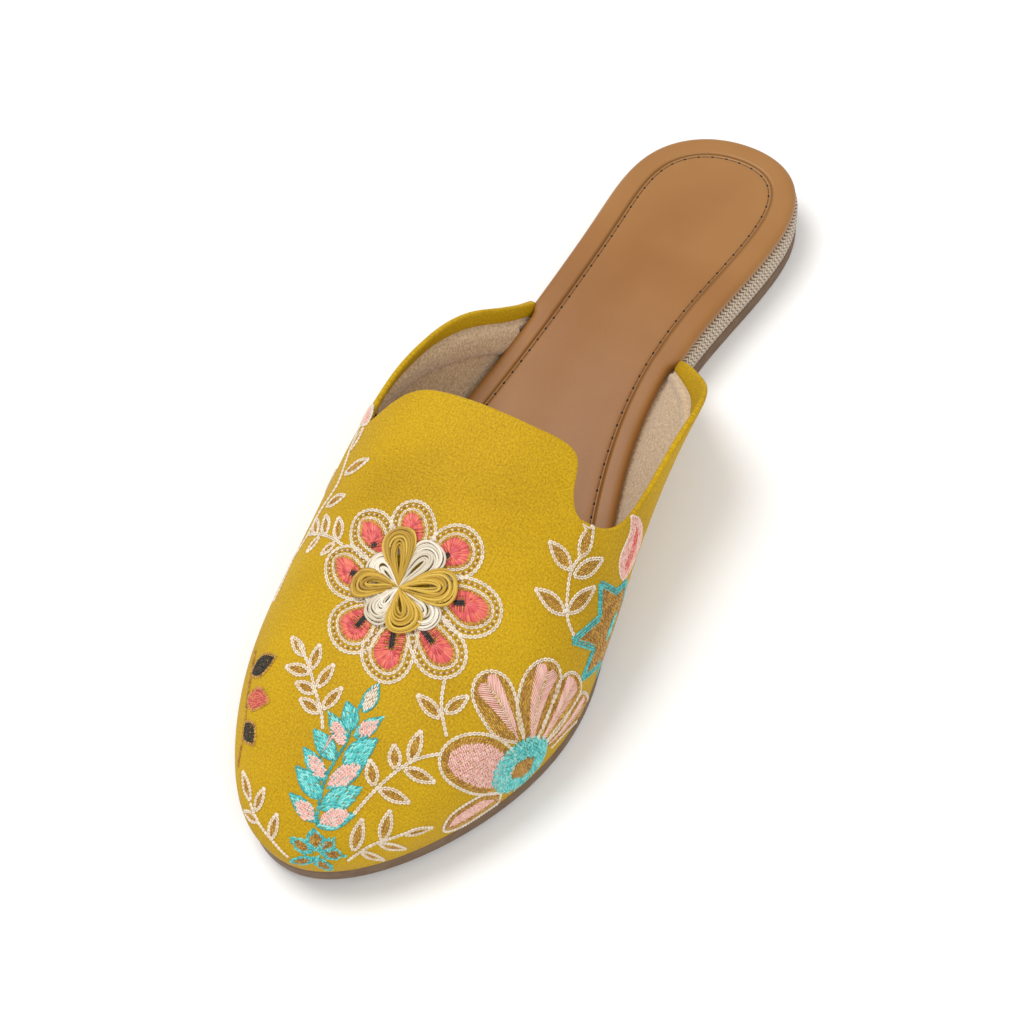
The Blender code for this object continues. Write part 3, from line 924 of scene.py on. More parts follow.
def make_sole(material):
    """Moulded sole: underside from the spine out, rounded edge, and its top."""
    under = inset_loops(np.concatenate([1 + np.linspace(1, 0, 9), UNDERSIDE_INSETS]))
    walls = np.stack([outline_loop(-reach * MM) for reach in column(SOLE_EDGE, 0)], 1)
    loops = np.concatenate([under, walls], 1)
    share = np.concatenate([np.zeros(under.shape[1]), column(SOLE_EDGE, 1)])
    low = bottom_height(loops[..., 0])
    behind = loops[..., 0] < MID_SHOE * LAST_LENGTH
    high = np.where(behind, SOLE_THICKNESS + ground_lift(loops[..., 0]), feather_height(loops[..., 0]))
    points = np.concatenate([loops, (low + (high - low) * share)[..., None]], -1)
    rows, columns = points.shape[:2]
    piece = make_piece("sole", points, [grid_faces(rows, columns, 0, False, True)], material, loops / MM)
    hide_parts("outsole")


# Embroidery
#
# Tables are in cloth mm. A leaf is base x, y, tip x, y and width. A sprig is its stem and its leaves,
# a lobe is its edge and the dark mark it closes on, and a yarn loop is tip x, y, width and height.
SPRIGS = (
    (((228.2, -2.9), (224.5, -5.5), (221.0, -9.0), (216.8, -12.9), (213.3, -16.8), (211.0, -20.2)),
     ((213.4, -16.9, 209.9, -23.0, 2.3), (215.9, -13.2, 209.6, -14.0, 2.6),
      (216.9, -13.2, 217.3, -21.0, 2.6), (219.5, -9.5, 212.8, -8.1, 2.6),
      (220.9, -9.5, 220.2, -15.9, 2.5), (223.8, -5.5, 217.2, -3.3, 2.6),
      (224.9, -5.8, 223.6, -12.7, 2.6))),
    (((243.1, 14.0), (237.4, 15.6), (232.3, 17.4), (227.8, 19.4), (224.0, 21.7), (219.5, 26.3)),
     ((234.4, 15.5, 229.4, 11.7, 2.9), (228.3, 18.5, 223.3, 15.4, 2.9), (224.9, 20.8, 217.1, 19.6, 2.9),
      (234.6, 17.1, 233.7, 25.8, 2.7), (227.2, 20.5, 225.9, 29.1, 2.7))),
    (((257.0, 17.8), (250.9, 20.4), (247.2, 23.4), (244.2, 26.7), (239.9, 31.0)),
     ((252.2, 18.0, 243.0, 16.5, 3.0), (246.5, 23.9, 237.8, 22.1, 3.0), (242.4, 29.1, 237.4, 36.2, 2.2),
      (251.5, 19.9, 255.8, 28.7, 2.2), (247.5, 23.6, 248.6, 33.2, 2.4))),
    (((262.6, 1.8), (259.3, -3.8), (256.5, -9.7), (252.6, -14.7)),
     ((252.0, -15.0, 246.1, -21.6, 2.6), (253.7, -12.1, 247.1, -11.6, 2.4),
      (258.9, -4.8, 251.4, -5.1, 2.6), (256.0, -10.3, 256.5, -17.2, 2.6))),
    (((204.2, 18.5), (208.5, 20.2), (211.8, 22.6), (214.9, 25.7)),
     ((212.2, 22.1, 210.4, 14.5, 2.8), (210.5, 22.5, 204.4, 25.3, 2.8))),
    (((176.8, 42.8), (174.9, 38.2), (171.4, 35.8), (168.0, 34.1), (164.9, 33.4), (161.6, 34.0)),
     ((165.7, 33.2, 163.9, 25.0, 3.6), (166.3, 34.7, 157.2, 40.4, 3.4), (174.8, 37.3, 175.1, 27.5, 3.6),
      (174.2, 37.7, 163.8, 41.9, 3.4), (161.7, 33.8, 153.4, 33.5, 3.4))),
    (((149.3, -46.0), (157.6, -42.6), (164.6, -39.1), (170.2, -37.8), (176.0, -40.2), (182.7, -39.9),
      (187.7, -42.2), (194.0, -40.4), (200.0, -39.6)),
     ((166.1, -36.6, 162.7, -29.2, 3.0), (174.7, -37.2, 172.7, -30.7, 2.8),
      (158.7, -41.5, 152.4, -41.1, 2.4))),
    (((182.2, -40.5), (183.2, -32.6), (183.9, -28.3), (185.6, -22.1)),
     ((183.1, -34.0, 177.6, -40.7, 2.2), (183.4, -29.7, 177.7, -34.8, 2.4),
      (184.5, -24.1, 178.7, -28.5, 2.6), (183.9, -32.0, 188.0, -34.0, 2.0),
      (185.5, -24.8, 188.8, -27.4, 2.0))),
)
LOBES = (
    (((187.7, -11.2), (185.6, -18.3), (181.4, -21.9), (177.6, -22.4), (175.5, -18.4), (176.1, -14.0),
      (179.0, -10.0), (183.5, -6.2)),
     ((183.0, -13.7), (184.4, -12.8))),
    (((182.7, -8.6), (177.9, -11.8), (173.6, -12.5), (170.6, -9.8), (170.6, -5.7), (173.2, -2.0),
      (176.5, -0.1), (182.2, -0.5)),
     ((177.0, -6.4), (180.0, -5.0))),
    (((182.2, -0.5), (176.7, -0.4), (173.1, 1.5), (171.2, 5.8), (172.9, 10.8), (176.9, 13.0),
      (181.2, 11.9), (184.2, 7.2)),
     ((178.6, 5.4), (180.0, 4.4))),
    (((186.2, 3.6), (181.9, 11.2), (181.1, 16.5), (182.8, 21.8), (187.1, 23.6), (191.3, 21.6),
      (193.8, 17.3), (191.9, 9.4)),
     ((187.0, 14.5), (188.4, 11.7))),
    (((191.9, 9.4), (193.3, 14.5), (195.8, 19.5), (200.2, 21.0), (203.9, 18.4), (205.2, 14.2),
      (203.5, 9.7), (197.7, 3.9)),
     ((196.9, 8.0), (198.7, 12.3))),
    (((196.9, 7.3), (203.4, 9.3), (207.5, 9.6), (211.3, 6.8), (211.6, 2.1), (208.6, -2.3),
      (201.3, -3.0), (198.5, -1.8)),
     ((199.6, 1.8), (204.3, 3.7))),
    (((198.5, -1.8), (205.0, -0.9), (208.2, -3.9), (208.9, -8.3), (206.2, -12.8), (201.8, -14.7),
      (197.8, -12.2), (195.3, -8.0)),
     ((199.1, -5.8), (203.2, -7.0))),
    (((196.0, -6.2), (197.5, -12.4), (196.9, -17.4), (193.2, -22.4), (188.6, -24.3), (185.7, -20.7),
      (186.0, -16.0), (189.6, -8.9)),
     ((191.7, -15.6), (191.4, -13.4))),
)
FLOWER_MIDDLE = (190.8, -1.8)
# Yarn loops: strands in a bundle and steps in a strand, the bundle's thickness at its tip in mm, the
# innermost strand's share of the width, how the teardrop is narrowed, and the strand's own section
LOOP_STRANDS = 12
LOOP_STEPS = 30
LOOP_THICK = 4.6
LOOP_HOLLOW = 0.16
LOOP_NARROWED = 0.74
YARN_WIDTH = 0.68 * MM
YARN_HEIGHT = 0.27 * MM
MUSTARD_LOOPS = (
    (177.5, -8.7, 8.0, 2.3),
    (193.8, -13.5, 7.0, 2.1),
    (185.2, 11.3, 8.6, 2.3),
    (199.4, 5.2, 8.6, 2.2),
)
CREAM_LOOPS = (
    (178.2, 2.3, 8.5, 1.3),
    (200.2, -4.4, 6.5, 1.2),
    (194.8, 10.4, 7.0, 1.1),
    (186.5, -11.9, 6.5, 1.0),
    (195.0, -9.0, 6.0, 1.0),
)
FEATHER_STEM = ((249.7, 6.4), (242.7, 4.2), (237.7, 3.5), (232.1, 3.9), (227.2, 4.2), (221.6, 3.2),
                (217.5, 3.2))
FEATHER_LOBES = (
    (225.1, 4.4, 219.8, -0.5, 4.2),
    (228.6, 4.2, 224.0, -3.4, 3.6),
    (233.4, 3.9, 229.1, -5.1, 4.4),
    (238.9, 3.8, 234.0, -5.5, 3.8),
    (243.1, 4.8, 238.9, -5.2, 4.6),
    (248.8, 6.0, 245.4, -3.8, 3.8),
    (226.5, 5.7, 219.1, 9.7, 3.6),
    (233.2, 5.9, 224.2, 11.1, 5.2),
    (240.0, 5.1, 229.7, 11.1, 4.6),
    (245.5, 5.6, 236.4, 12.8, 5.6),
    (249.7, 6.4, 242.9, 14.3, 4.2),
)
FEATHER_PINKS = (
    (229.4, 3.9, 225.0, -1.7, 3.0),
    (238.3, 3.5, 234.9, -3.4, 3.0),
    (248.5, 5.1, 246.3, -1.7, 3.2),
    (225.6, 6.2, 219.9, 9.4, 2.8),
    (239.4, 4.8, 231.3, 10.5, 3.6),
    (248.5, 6.6, 242.8, 13.1, 3.4),
)
PINK_FULLER = 1.25
FEATHER_TIP = (220.2, 4.7, 212.6, 4.9, 3.6)
# Toe petals, how far each is stretched about its middle, and its gold heart's share of it
TOE_PETAL_STRETCH = (1.2, 1.35)
TOE_PETAL_HEART = 0.6
TOE_PETALS = (
    (255.8, 8.7, 250.7, 6.4, 4.4),
    (256.9, 7.2, 255.8, 1.5, 3.8),
    (258.8, 8.1, 265.8, 3.0, 3.4),
    (255.9, 10.6, 254.8, 16.0, 3.8),
    (258.0, 10.1, 265.9, 14.3, 3.6),
    (255.3, 10.0, 251.0, 11.7, 3.4),
)
# Oval cut by the foot line, and its core
HALF_OVAL = (
    ((216.7, 50.9), (216.8, 44.2), (212.4, 41.6), (207.1, 42.1), (202.0, 44.8), (198.7, 49.6),
     (197.5, 55.0), (199.9, 58.8), (204.3, 57.8), (210.9, 56.0)),
    ((210.8, 50.5), (210.9, 47.6), (207.3, 47.4), (203.8, 49.5), (202.5, 52.3), (203.6, 54.9),
     (207.3, 54.1)),
)
PINK_PETAL = ((217.5, 49.7), (221.7, 42.9), (223.7, 35.6), (223.2, 29.9), (219.9, 26.8),
              (215.3, 27.2), (210.6, 31.1), (207.6, 36.9), (206.6, 42.8))
# Fan petals: edge and rib
FAN_PETALS = (
    (((204.3, 42.8), (207.5, 35.9), (206.3, 30.5), (203.6, 26.0), (199.7, 25.1), (196.4, 28.1),
      (196.1, 32.7), (198.8, 37.4), (202.4, 43.8)),
     ((203.9, 42.3), (202.2, 36.3), (199.7, 28.2))),
    (((202.7, 44.2), (200.5, 38.8), (196.7, 36.3), (192.4, 35.4), (188.6, 36.4), (185.7, 39.1),
      (185.0, 42.9), (187.1, 45.7), (192.5, 46.8), (199.8, 48.4)),
     ((201.0, 46.5), (195.8, 42.9), (188.3, 40.6))),
    (((200.0, 48.7), (193.5, 47.3), (187.4, 45.3), (183.6, 46.9), (181.9, 50.9), (183.2, 56.0),
      (189.3, 55.1), (197.7, 53.0)),
     ((198.7, 50.8), (191.8, 50.5), (184.1, 50.1))),
    (((197.8, 53.5), (189.5, 56.0), (183.9, 56.0), (180.0, 61.8), (177.2, 70.0), (186.9, 63.8),
      (196.1, 58.5)),
     ((197.0, 55.3), (189.7, 59.0), (181.5, 61.7))),
)
LOWER_PETAL = ((216.3, 51.6), (220.8, 44.8), (227.1, 40.8), (232.8, 39.1), (237.8, 42.2),
               (235.0, 46.1), (227.3, 50.6), (218.6, 54.2))
STAR = ((162.0, 43.2), (167.6, 48.2), (177.9, 43.0), (173.5, 51.6), (181.0, 53.2), (172.1, 60.7),
        (170.4, 69.0), (163.8, 64.3), (156.5, 67.8), (157.3, 59.7), (153.5, 54.4), (158.8, 50.6),
        (162.0, 43.2))
STAR_MIDDLE = (164.5, 56.3)
STAR_OVAL = (168.4, 56.7, 160.7, 55.9, 2.6)
PINK_LEAF = ((142.8, 43.7), (141.0, 47.0), (141.0, 51.1), (144.3, 54.8), (148.7, 54.6), (155.2, 50.2),
             (153.9, 47.0), (149.3, 45.9), (145.4, 45.8))
PINK_LEAF_MIDDLE = ((143.1, 48.6), (147.0, 50.2), (152.6, 50.4))
NOTCH_LEAF = (151.5, -39.5, 143.5, -50.5, 4.6)
# Plain leaves in the dark colours by the toe's outer side, and sprigs guessed for the hidden face
DARK_LEAVES = ((221.0, -34.0, 215.5, -25.5, 6.2), (227.5, -31.0, 227.0, -21.5, 6.2),
               (234.0, -28.0, 238.5, -20.5, 5.2))
DARK_STEM = ((214.0, -37.0), (222.0, -33.5), (229.0, -30.5), (237.0, -27.0), (246.0, -25.0))
HIDDEN_STEMS = (((166.0, -54.0), (178.0, -58.0), (190.0, -56.0), (202.0, -58.0), (212.0, -54.0)),
                ((132.0, -62.0), (142.0, -66.0), (152.0, -64.0)))

# A strand: five steps along its axis with their share of the full section, and its ring of corners
STITCH_STEPS = np.array([0.0, 0.15, 0.5, 0.85, 1.0])
STITCH_SHAPE = np.array([0.0, 0.8, 1.0, 0.8, 0.0])
RING_ANGLES = np.radians([18, 90, 162, 234, 306])
UNDERSIDE = 0.4
# Stitches nearer than this to the foot line are left out
FOOT_ROOM = GAP + 0.2 * MM
# Spacing in mm that a motif's edge is traced at
EDGE_PITCH = 0.5
# A chain's leg: share of the chain's width, its height and bow likewise, and its lap over the next
LEG_WIDTH = 0.44
LEG_HEIGHT = 0.30
LEG_BOW = 0.26
LEG_LAP = 0.15

rng = np.random.default_rng(7)


def strands(axes, normals, widths, heights, shape):
    """Closed lens-ended strands: rings round each axis, side * cos * width / 2 + normal * sin * height,
    both times the shape's share, and one point at either end."""
    count, steps = axes.shape[:2]
    side = unit(np.cross(normals, np.gradient(axes, axis=1)))[:, :, None]
    up = normals[:, :, None]
    across = (np.cos(RING_ANGLES) * widths[:, None, None] / 2 * shape[:, None])[..., None]
    sines = np.where(np.sin(RING_ANGLES) < 0, UNDERSIDE, 1) * np.sin(RING_ANGLES)
    above = (sines * heights[:, None, None] * shape[:, None])[..., None]
    rings = (axes[:, :, None] + side * across + up * above)[:, 1:-1]
    points = np.concatenate([axes[:, :1], rings.reshape(count, -1, 3), axes[:, -1:]], 1)
    size, ring = points.shape[1], len(RING_ANGLES)
    here = np.arange(ring)
    ahead = (here + 1) % ring
    rows = 1 + ring * np.arange(steps - 3)[:, None]
    quads = np.stack([rows + here, rows + ahead, rows + ring + ahead, rows + ring + here], -1).reshape(-1, 4)
    last = 1 + ring * (steps - 3)
    fans = np.concatenate([np.stack([0 * here, 1 + ahead, 1 + here], -1),
                           np.stack([0 * here + size - 1, last + here, last + ahead], -1)])
    starts = (np.arange(count) * size)[:, None, None]
    return points.reshape(-1, 3), [(quads + starts).reshape(-1, 4), (fans + starts).reshape(-1, 3)], size


class Thread:
    """Stitches of one colour, gathered for one mesh."""

    def __init__(self, name, material):
        self.name, self.material, self.rows = name, material, []

    def add(self, start, end, width, height, bow, lift, tone):
        """Stitches from start to end in cloth mm, bowed sideways by bow * sin(pi t)."""
        start, end = np.atleast_2d(start), np.atleast_2d(end)
        count = max(len(start), len(end))
        columns = [np.broadcast_to(value, count) for value in (width, height, bow, lift, tone)]
        self.rows.append(np.column_stack([np.broadcast_to(start, (count, 2)),
                                          np.broadcast_to(end, (count, 2))] + columns))

    def sew(self, cloth):
        """Lays every stitch on the cloth and makes the piece."""
        rows = np.concatenate(self.rows)
        start, end = rows[:, None, :2], rows[:, None, 2:4]
        width, height, bow, lift, tone = rows[:, 4:].T
        side = turned_left(unit(end - start))
        t = STITCH_STEPS[:, None]
        flat = start + (end - start) * t + side * bow[:, None, None] * np.sin(np.pi * t)
        axes, normals = cloth.lay(flat, (lift * MM)[:, None] + 0 * flat[..., 0])
        keep = (axes[..., 2] - feather_height(axes[..., 0]) > FOOT_ROOM).all(1)
        points, faces, size = strands(axes[keep], normals[keep], width[keep] * MM, height[keep] * MM,
                                      STITCH_SHAPE)
        piece = make_piece(self.name, points, faces, self.material, tone=np.repeat(tone[keep], size), weld=0)


def trace(points, pitch=EDGE_PITCH):
    """Evenly spread places about pitch mm apart on a smooth line through the points."""
    points = np.asarray(points, float)
    length = np.linalg.norm(np.diff(points, axis=0), axis=1).sum() * 1.03
    return even_curve(points, max(int(round(length / pitch)), 2))


def closed(line):
    """A line with its first place added at its end."""
    return np.concatenate([line, line[:1]])


def turned_left(vectors):
    """Vectors turned by a right angle: (-y, x)."""
    return np.stack([-vectors[..., 1], vectors[..., 0]], -1)


def inset(line, middle, depth):
    """A line moved by depth mm to the side on which the middle lies."""
    side = turned_left(unit(np.gradient(line, axis=0)))
    toward = np.sign(((middle - line) * side).sum())
    return line + side * toward * depth


# In what follows "tone" is the darkest and the lightest share of the thread's three colours

def chain(thread, line, width, pitch, tone=(0.35, 0.85)):
    """Chain stitch: a left and a right leg per link, bowed apart."""
    line = trace(line, pitch)
    end = line[1:] + (line[1:] - line[:-1]) * LEG_LAP
    shades = rng.uniform(*tone, len(end))
    for bow in (-LEG_BOW, LEG_BOW):
        thread.add(line[:-1], end, width * LEG_WIDTH, width * LEG_HEIGHT, bow * width, 0.05, shades)


def row(thread, line, size, tone, slant=0.0, skip=1, first=0, lift=0.03):
    """Single stitches along a line: size is their pitch, length and width, slant turns each by so
    many degrees, and skip leaves gaps between."""
    pitch, length, width = size
    line = trace(line, pitch)
    middle, run = (line[1:] + line[:-1]) / 2, unit(line[1:] - line[:-1])
    angle = np.radians(slant)
    run = run * np.cos(angle) + turned_left(run) * np.sin(angle)
    middle, run = middle[first::skip], run[first::skip]
    thread.add(middle - run * length / 2, middle + run * length / 2, width, 0.28, 0, lift,
               rng.uniform(*tone, len(run)))


def inside(places, polygon):
    """Even-odd test: counts the polygon's sides crossed by a ray along x."""
    a, b = polygon, np.roll(polygon, -1, 0)
    x, y = places[:, :1], places[:, 1:]
    spans = (a[:, 1] > y) != (b[:, 1] > y)
    with np.errstate(divide="ignore", invalid="ignore"):
        cut = a[:, 0] + (y - a[:, 1]) / (b[:, 1] - a[:, 1]) * (b[:, 0] - a[:, 0])
    return (spans & (x < cut)).sum(1) % 2 == 1


def grains(thread, polygon, angle, size, tone, holes=(), lift=0.0):
    """Short stitches in staggered rows at an angle (degrees), filling a closed line: size is their
    length, width and the rows' gap. Each strays by up to 0.2 of a length and about 9 degrees."""
    length, width, gap = size
    polygon = np.asarray(polygon, float)
    along = np.array([np.cos(np.radians(angle)), np.sin(np.radians(angle))])
    across = turned_left(along)
    middle, reach = polygon.mean(0), np.linalg.norm(np.ptp(polygon, axis=0)) / 2 + length
    i = np.arange(-int(reach / length), int(reach / length) + 1)
    j = np.arange(-int(reach / gap), int(reach / gap) + 1)
    i, j = [grid.ravel().astype(float) for grid in np.meshgrid(i, j)]
    i = i + 0.5 * (j % 2) + rng.uniform(-0.2, 0.2, len(i))
    places = middle + along * (i * length * 0.95)[:, None] + across * (j * gap)[:, None]
    keep = inside(places, polygon)
    for hole in holes:
        keep &= ~inside(places, np.asarray(hole, float))
    places = places[keep]
    turn = np.radians(rng.normal(0, 9, len(places)))[:, None]
    run = along * np.cos(turn) + across * np.sin(turn)
    reach = run * length * rng.uniform(0.5, 0.62, len(places))[:, None]
    thread.add(places - reach, places + reach, width, 0.26, 0, lift + rng.uniform(0, 0.08, len(places)),
               rng.uniform(*tone, len(places)))


def satin(thread, edge, axis, near, far, width, tone, lift):
    """Long stitches from an edge toward the nearest place of an axis, between two shares of the way."""
    edge, axis = np.asarray(edge, float), trace(axis, 0.4)
    target = axis[((edge[:, None] - axis[None])**2).sum(-1).argmin(1)]
    near = near + rng.uniform(-0.06, 0.06, len(edge))[:, None]
    far = far + rng.uniform(-0.08, 0.08, len(edge))[:, None]
    thread.add(edge + (target - edge) * near, edge + (target - edge) * far, width, 0.34, 0, lift,
               rng.uniform(*tone, len(edge)))


def leaf_line(leaf):
    """Open ring of a leaf: (tip - base) * t with +-width / 2 * sin(pi * t^0.85) to the sides."""
    base, tip, width = np.array(leaf[:2]), np.array(leaf[2:4]), leaf[4]
    t = np.linspace(0, 1, 9)[:, None]
    side = turned_left(unit(tip - base)) * width / 2 * np.sin(np.pi * t**0.85)
    middle = base + (tip - base) * t
    return np.concatenate([middle + side, (middle - side)[-2:0:-1]])


def direction(leaf):
    """Degrees from a leaf's base to its tip."""
    return np.degrees(np.arctan2(leaf[3] - leaf[1], leaf[2] - leaf[0]))


def embroider_leaf(edging, filling, leaf, width=1.2):
    """A leaf of fine grains, with a chain up either side."""
    line = leaf_line(leaf)
    grains(filling, line, direction(leaf), (1.0, 0.42, 0.42), (0.2, 1.0))
    half = len(line) // 2
    for side in (line[:half + 1], closed(line)[half:][::-1]):
        chain(edging, side, width, 1.05)


def embroider_sprig(threads, stem, leaves):
    """A chain for the stem, and its leaves."""
    chain(threads["cream"], stem, 1.15, 1.2)
    for leaf in leaves:
        embroider_leaf(threads["cream"], threads["gold"], leaf)


def embroider_flower(threads):
    """Eight lobes: two chains with a dotted row between, a gold ring, and coral satin round a mark."""
    cream, gold, coral, black = (threads[key] for key in ("cream", "gold", "coral", "black"))
    for lobe, mark in LOBES:
        line, mark = trace(lobe), np.array(mark)
        middle = mark.mean(0)
        grains(gold, inset(line, middle, 2.4), direction(mark.ravel()), (0.9, 0.45, 0.45), (0.2, 0.9))
        satin(gold, inset(line, middle, 2.3), mark, 0.0, 0.24, 0.5, (0.1, 1.0), 0.06)
        core = inset(line, middle, 2.9)
        satin(coral, core, mark, 0.0, 0.6, 0.46, (0.1, 1.0), 0.16)
        satin(coral, core[::2], mark, 0.35, 0.97, 0.44, (0.0, 0.8), 0.22)
        for shift in (-0.45, 0.0, 0.45):
            beside = turned_left(unit(mark[1] - mark[0])) * shift
            black.add(mark[0] + beside, mark[1] + beside, 0.55, 0.4, 0, 0.28, 0.5)
        dots = inset(line, middle, 1.05)
        row(cream, dots, (0.8, 0.7, 0.6), (0.2, 0.6), skip=2)
        row(gold, dots, (0.8, 0.75, 0.65), (0.0, 0.35), skip=2, first=1)
    for lobe, mark in LOBES:
        line = trace(lobe)
        chain(cream, line, 1.15, 1.25)
        chain(cream, inset(line, np.mean(mark, 0), 2.1), 1.05, 1.2)


def embroider_feather(threads):
    """Turquoise lobes and pink ones on a stem, a cream tip, and a ring of petals at the toe."""
    teal, pink, gold, cream = (threads[key] for key in ("turquoise", "pink", "gold", "cream"))
    for leaf in FEATHER_LOBES:
        line = leaf_line(leaf)
        grains(teal, line, direction(leaf), (1.5, 0.66, 0.46), (0.3, 1.0))
        row(teal, closed(line), (0.9, 1.0, 0.6), (0.0, 0.3), 8)
    for leaf in FEATHER_PINKS:
        leaf = (*leaf[:4], leaf[4] * PINK_FULLER)
        grains(pink, leaf_line(leaf), direction(leaf) + 60, (0.9, 0.6, 0.46), (0.3, 1.0), lift=0.14)
    chain(teal, FEATHER_STEM, 1.0, 1.3, (0.0, 0.4))
    tip = leaf_line(FEATHER_TIP)
    grains(cream, tip, direction(FEATHER_TIP), (1.2, 0.5, 0.48), (0.4, 1.0))
    row(teal, closed(tip), (0.7, 0.9, 0.8), (0.0, 0.5), 10)
    for leaf in TOE_PETALS:
        line = leaf_line(leaf)
        line = line.mean(0) + (line - line.mean(0)) * TOE_PETAL_STRETCH
        heart = line.mean(0) + (line - line.mean(0)) * TOE_PETAL_HEART
        grains(teal, line, direction(leaf), (0.9, 0.5, 0.46), (0.1, 0.8), (heart,))
        grains(gold, heart, direction(leaf), (0.9, 0.5, 0.46), (0.0, 0.7))


def ringed_petal(threads, line, angle):
    """A closed petal: cream chain, three gold rows and a pink middle."""
    line = trace(line)
    middle = line.mean(0)
    chain(threads["cream"], closed(line), 1.1, 1.2)
    for depth in (1.0, 1.5, 2.0):
        row(threads["gold"], inset(line, middle, depth), (0.8, 1.0, 0.55), (0.1, 0.9), 30)
    grains(threads["pink"], inset(line, middle, 2.2), angle, (0.9, 0.5, 0.48), (0.2, 1.0))


def embroider_fan(threads):
    """Gold petals with pink barbs off a cream rib, as long as the petal is wide there, two ringed
    petals, and a turquoise half oval round a gold core."""
    cream, gold, pink, teal = (threads[key] for key in ("cream", "gold", "pink", "turquoise"))
    for line, rib in FAN_PETALS:
        line, rib = trace(line), trace(rib, 0.62)
        grains(gold, line, direction((*rib[0], *rib[-1])), (1.0, 0.45, 0.45), (0.1, 1.0))
        chain(cream, line, 1.1, 1.2)
        room = np.sqrt(((rib[:, None] - line[None])**2).sum(-1).min(1))[:, None]
        run = unit(np.gradient(rib, axis=0))
        for side in (-1, 1):
            barb = (run * 0.75 + turned_left(run) * side * 0.75) * np.clip(1.25 * room - 1.5, 0.3, 5.5)
            pink.add(rib, rib + barb, 0.46, 0.36, 0, 0.12, rng.uniform(0.3, 1.0, len(rib)))
        chain(cream, rib, 0.8, 1.0)
    ringed_petal(threads, PINK_PETAL, 20)
    ringed_petal(threads, LOWER_PETAL, -10)
    oval, core = HALF_OVAL
    grains(teal, trace(closed(oval)), 60, (0.9, 0.5, 0.48), (0.3, 1.0), (core,), 0.1)
    grains(gold, core, 60, (0.8, 0.45, 0.42), (0.1, 0.8), lift=0.1)


def embroider_star(threads):
    """A gold star edged in turquoise round a small oval, and the pink leaves above it."""
    cream, gold, pink, teal, coral = (threads[key] for key in ("cream", "gold", "pink", "turquoise", "coral"))
    fill = STAR_MIDDLE + (np.array(STAR[:-1]) - STAR_MIDDLE) * 0.9
    oval = leaf_line(STAR_OVAL)
    grains(gold, fill, 70, (1.1, 0.5, 0.46), (0.0, 0.8), (oval,))
    grains(teal, oval, direction(STAR_OVAL), (1.2, 0.5, 0.45), (0.4, 1.0), lift=0.1)
    for start, end in zip(STAR[:-1], STAR[1:]):
        for shift in (-0.6, 0.0, 0.6):
            side = turned_left(unit(np.subtract(end, start))) * shift
            row(teal, [start + side, np.add(start, end) / 2 + side, end + side], (0.8, 1.0, 0.6),
                (0.0, 0.6), 20)
    line = trace(closed(PINK_LEAF))
    grains(pink, line, 25, (1.1, 0.45, 0.45), (0.2, 1.0))
    row(cream, line, (0.8, 0.9, 0.55), (0.3, 0.9), 15)
    for shift in (-0.8, 0.0, 0.8):
        row(coral, np.array(PINK_LEAF_MIDDLE) + [0, shift], (0.7, 1.4, 0.5), (0.3, 0.9), 12, lift=0.12)
    embroider_leaf(cream, pink, NOTCH_LEAF)


def embroider_dark_leaves(threads):
    """Three plain leaves on a gold stem."""
    chain(threads["gold"], DARK_STEM, 1.0, 1.2, (0.1, 0.6))
    for leaf, colour in zip(DARK_LEAVES, ("black", "coral", "black")):
        embroider_leaf(threads["gold"], threads[colour], leaf, 1.0)


def embroider_hidden_sprigs(threads):
    """Sprigs with a leaf every 8 mm, to either side in turn."""
    for stem in HIDDEN_STEMS:
        line = trace(stem, 8.0)
        embroider_sprig(threads, stem, [(*place, *(place + [-4.0, side * 6.5]), 2.8)
                                        for place, side in zip(line, np.resize([1, -1], len(line)))])


def yarn_loops(cloth, name, material, loops, tone):
    """A bundle of strands a loop, teardrops that leave and come back to the flower's middle:
    lengthwise (1 - cos 2 pi t) / 2, sideways sin 2 pi t * lengthwise^0.9, lifted over a low crown."""
    t = np.linspace(0, 1, LOOP_STEPS)
    out = (1 - np.cos(2 * np.pi * t)) / 2
    sideways = np.sin(2 * np.pi * t) * out**0.9 * LOOP_NARROWED
    shape = np.clip(np.minimum(t, 1 - t) * 12, 0, 1)
    shape[[0, -1]] = 0
    flats, lifts = [], []
    for x, y, width, height in loops:
        reach = np.array([x, y]) - FLOWER_MIDDLE
        length, ahead = np.linalg.norm(reach), unit(reach)
        for k in np.linspace(0, 1, LOOP_STRANDS):
            reach_now = length - LOOP_THICK * (1 - k) + rng.uniform(-0.3, 0.3)
            lean = rng.uniform(-0.35, 0.35) * np.sin(np.pi * t)
            lean = lean + rng.uniform(-0.3, 0.3) * np.sin(3 * np.pi * t)
            half = sideways * (width * (LOOP_HOLLOW + (1 - LOOP_HOLLOW) * k)) + lean
            flats.append(FLOWER_MIDDLE + ahead * (out * reach_now)[:, None]
                         + turned_left(ahead) * half[:, None])
            crown = 0.35 * (1 - (2 * k - 1)**2) - 0.35 * k
            lifts.append(0.5 + height * 0.6 * np.sin(np.pi * out / 1.25)**0.8 + crown * out
                         + rng.uniform(-0.22, 0.22))
    axes, normals = cloth.lay(np.array(flats), np.array(lifts) * MM)
    count = len(axes)
    points, faces, size = strands(axes, normals, np.full(count, YARN_WIDTH),
                                  np.full(count, YARN_HEIGHT), shape)
    shades = np.repeat(rng.uniform(*tone, count), size)
    make_piece(name, points, faces, material, tone=shades, weld=0)


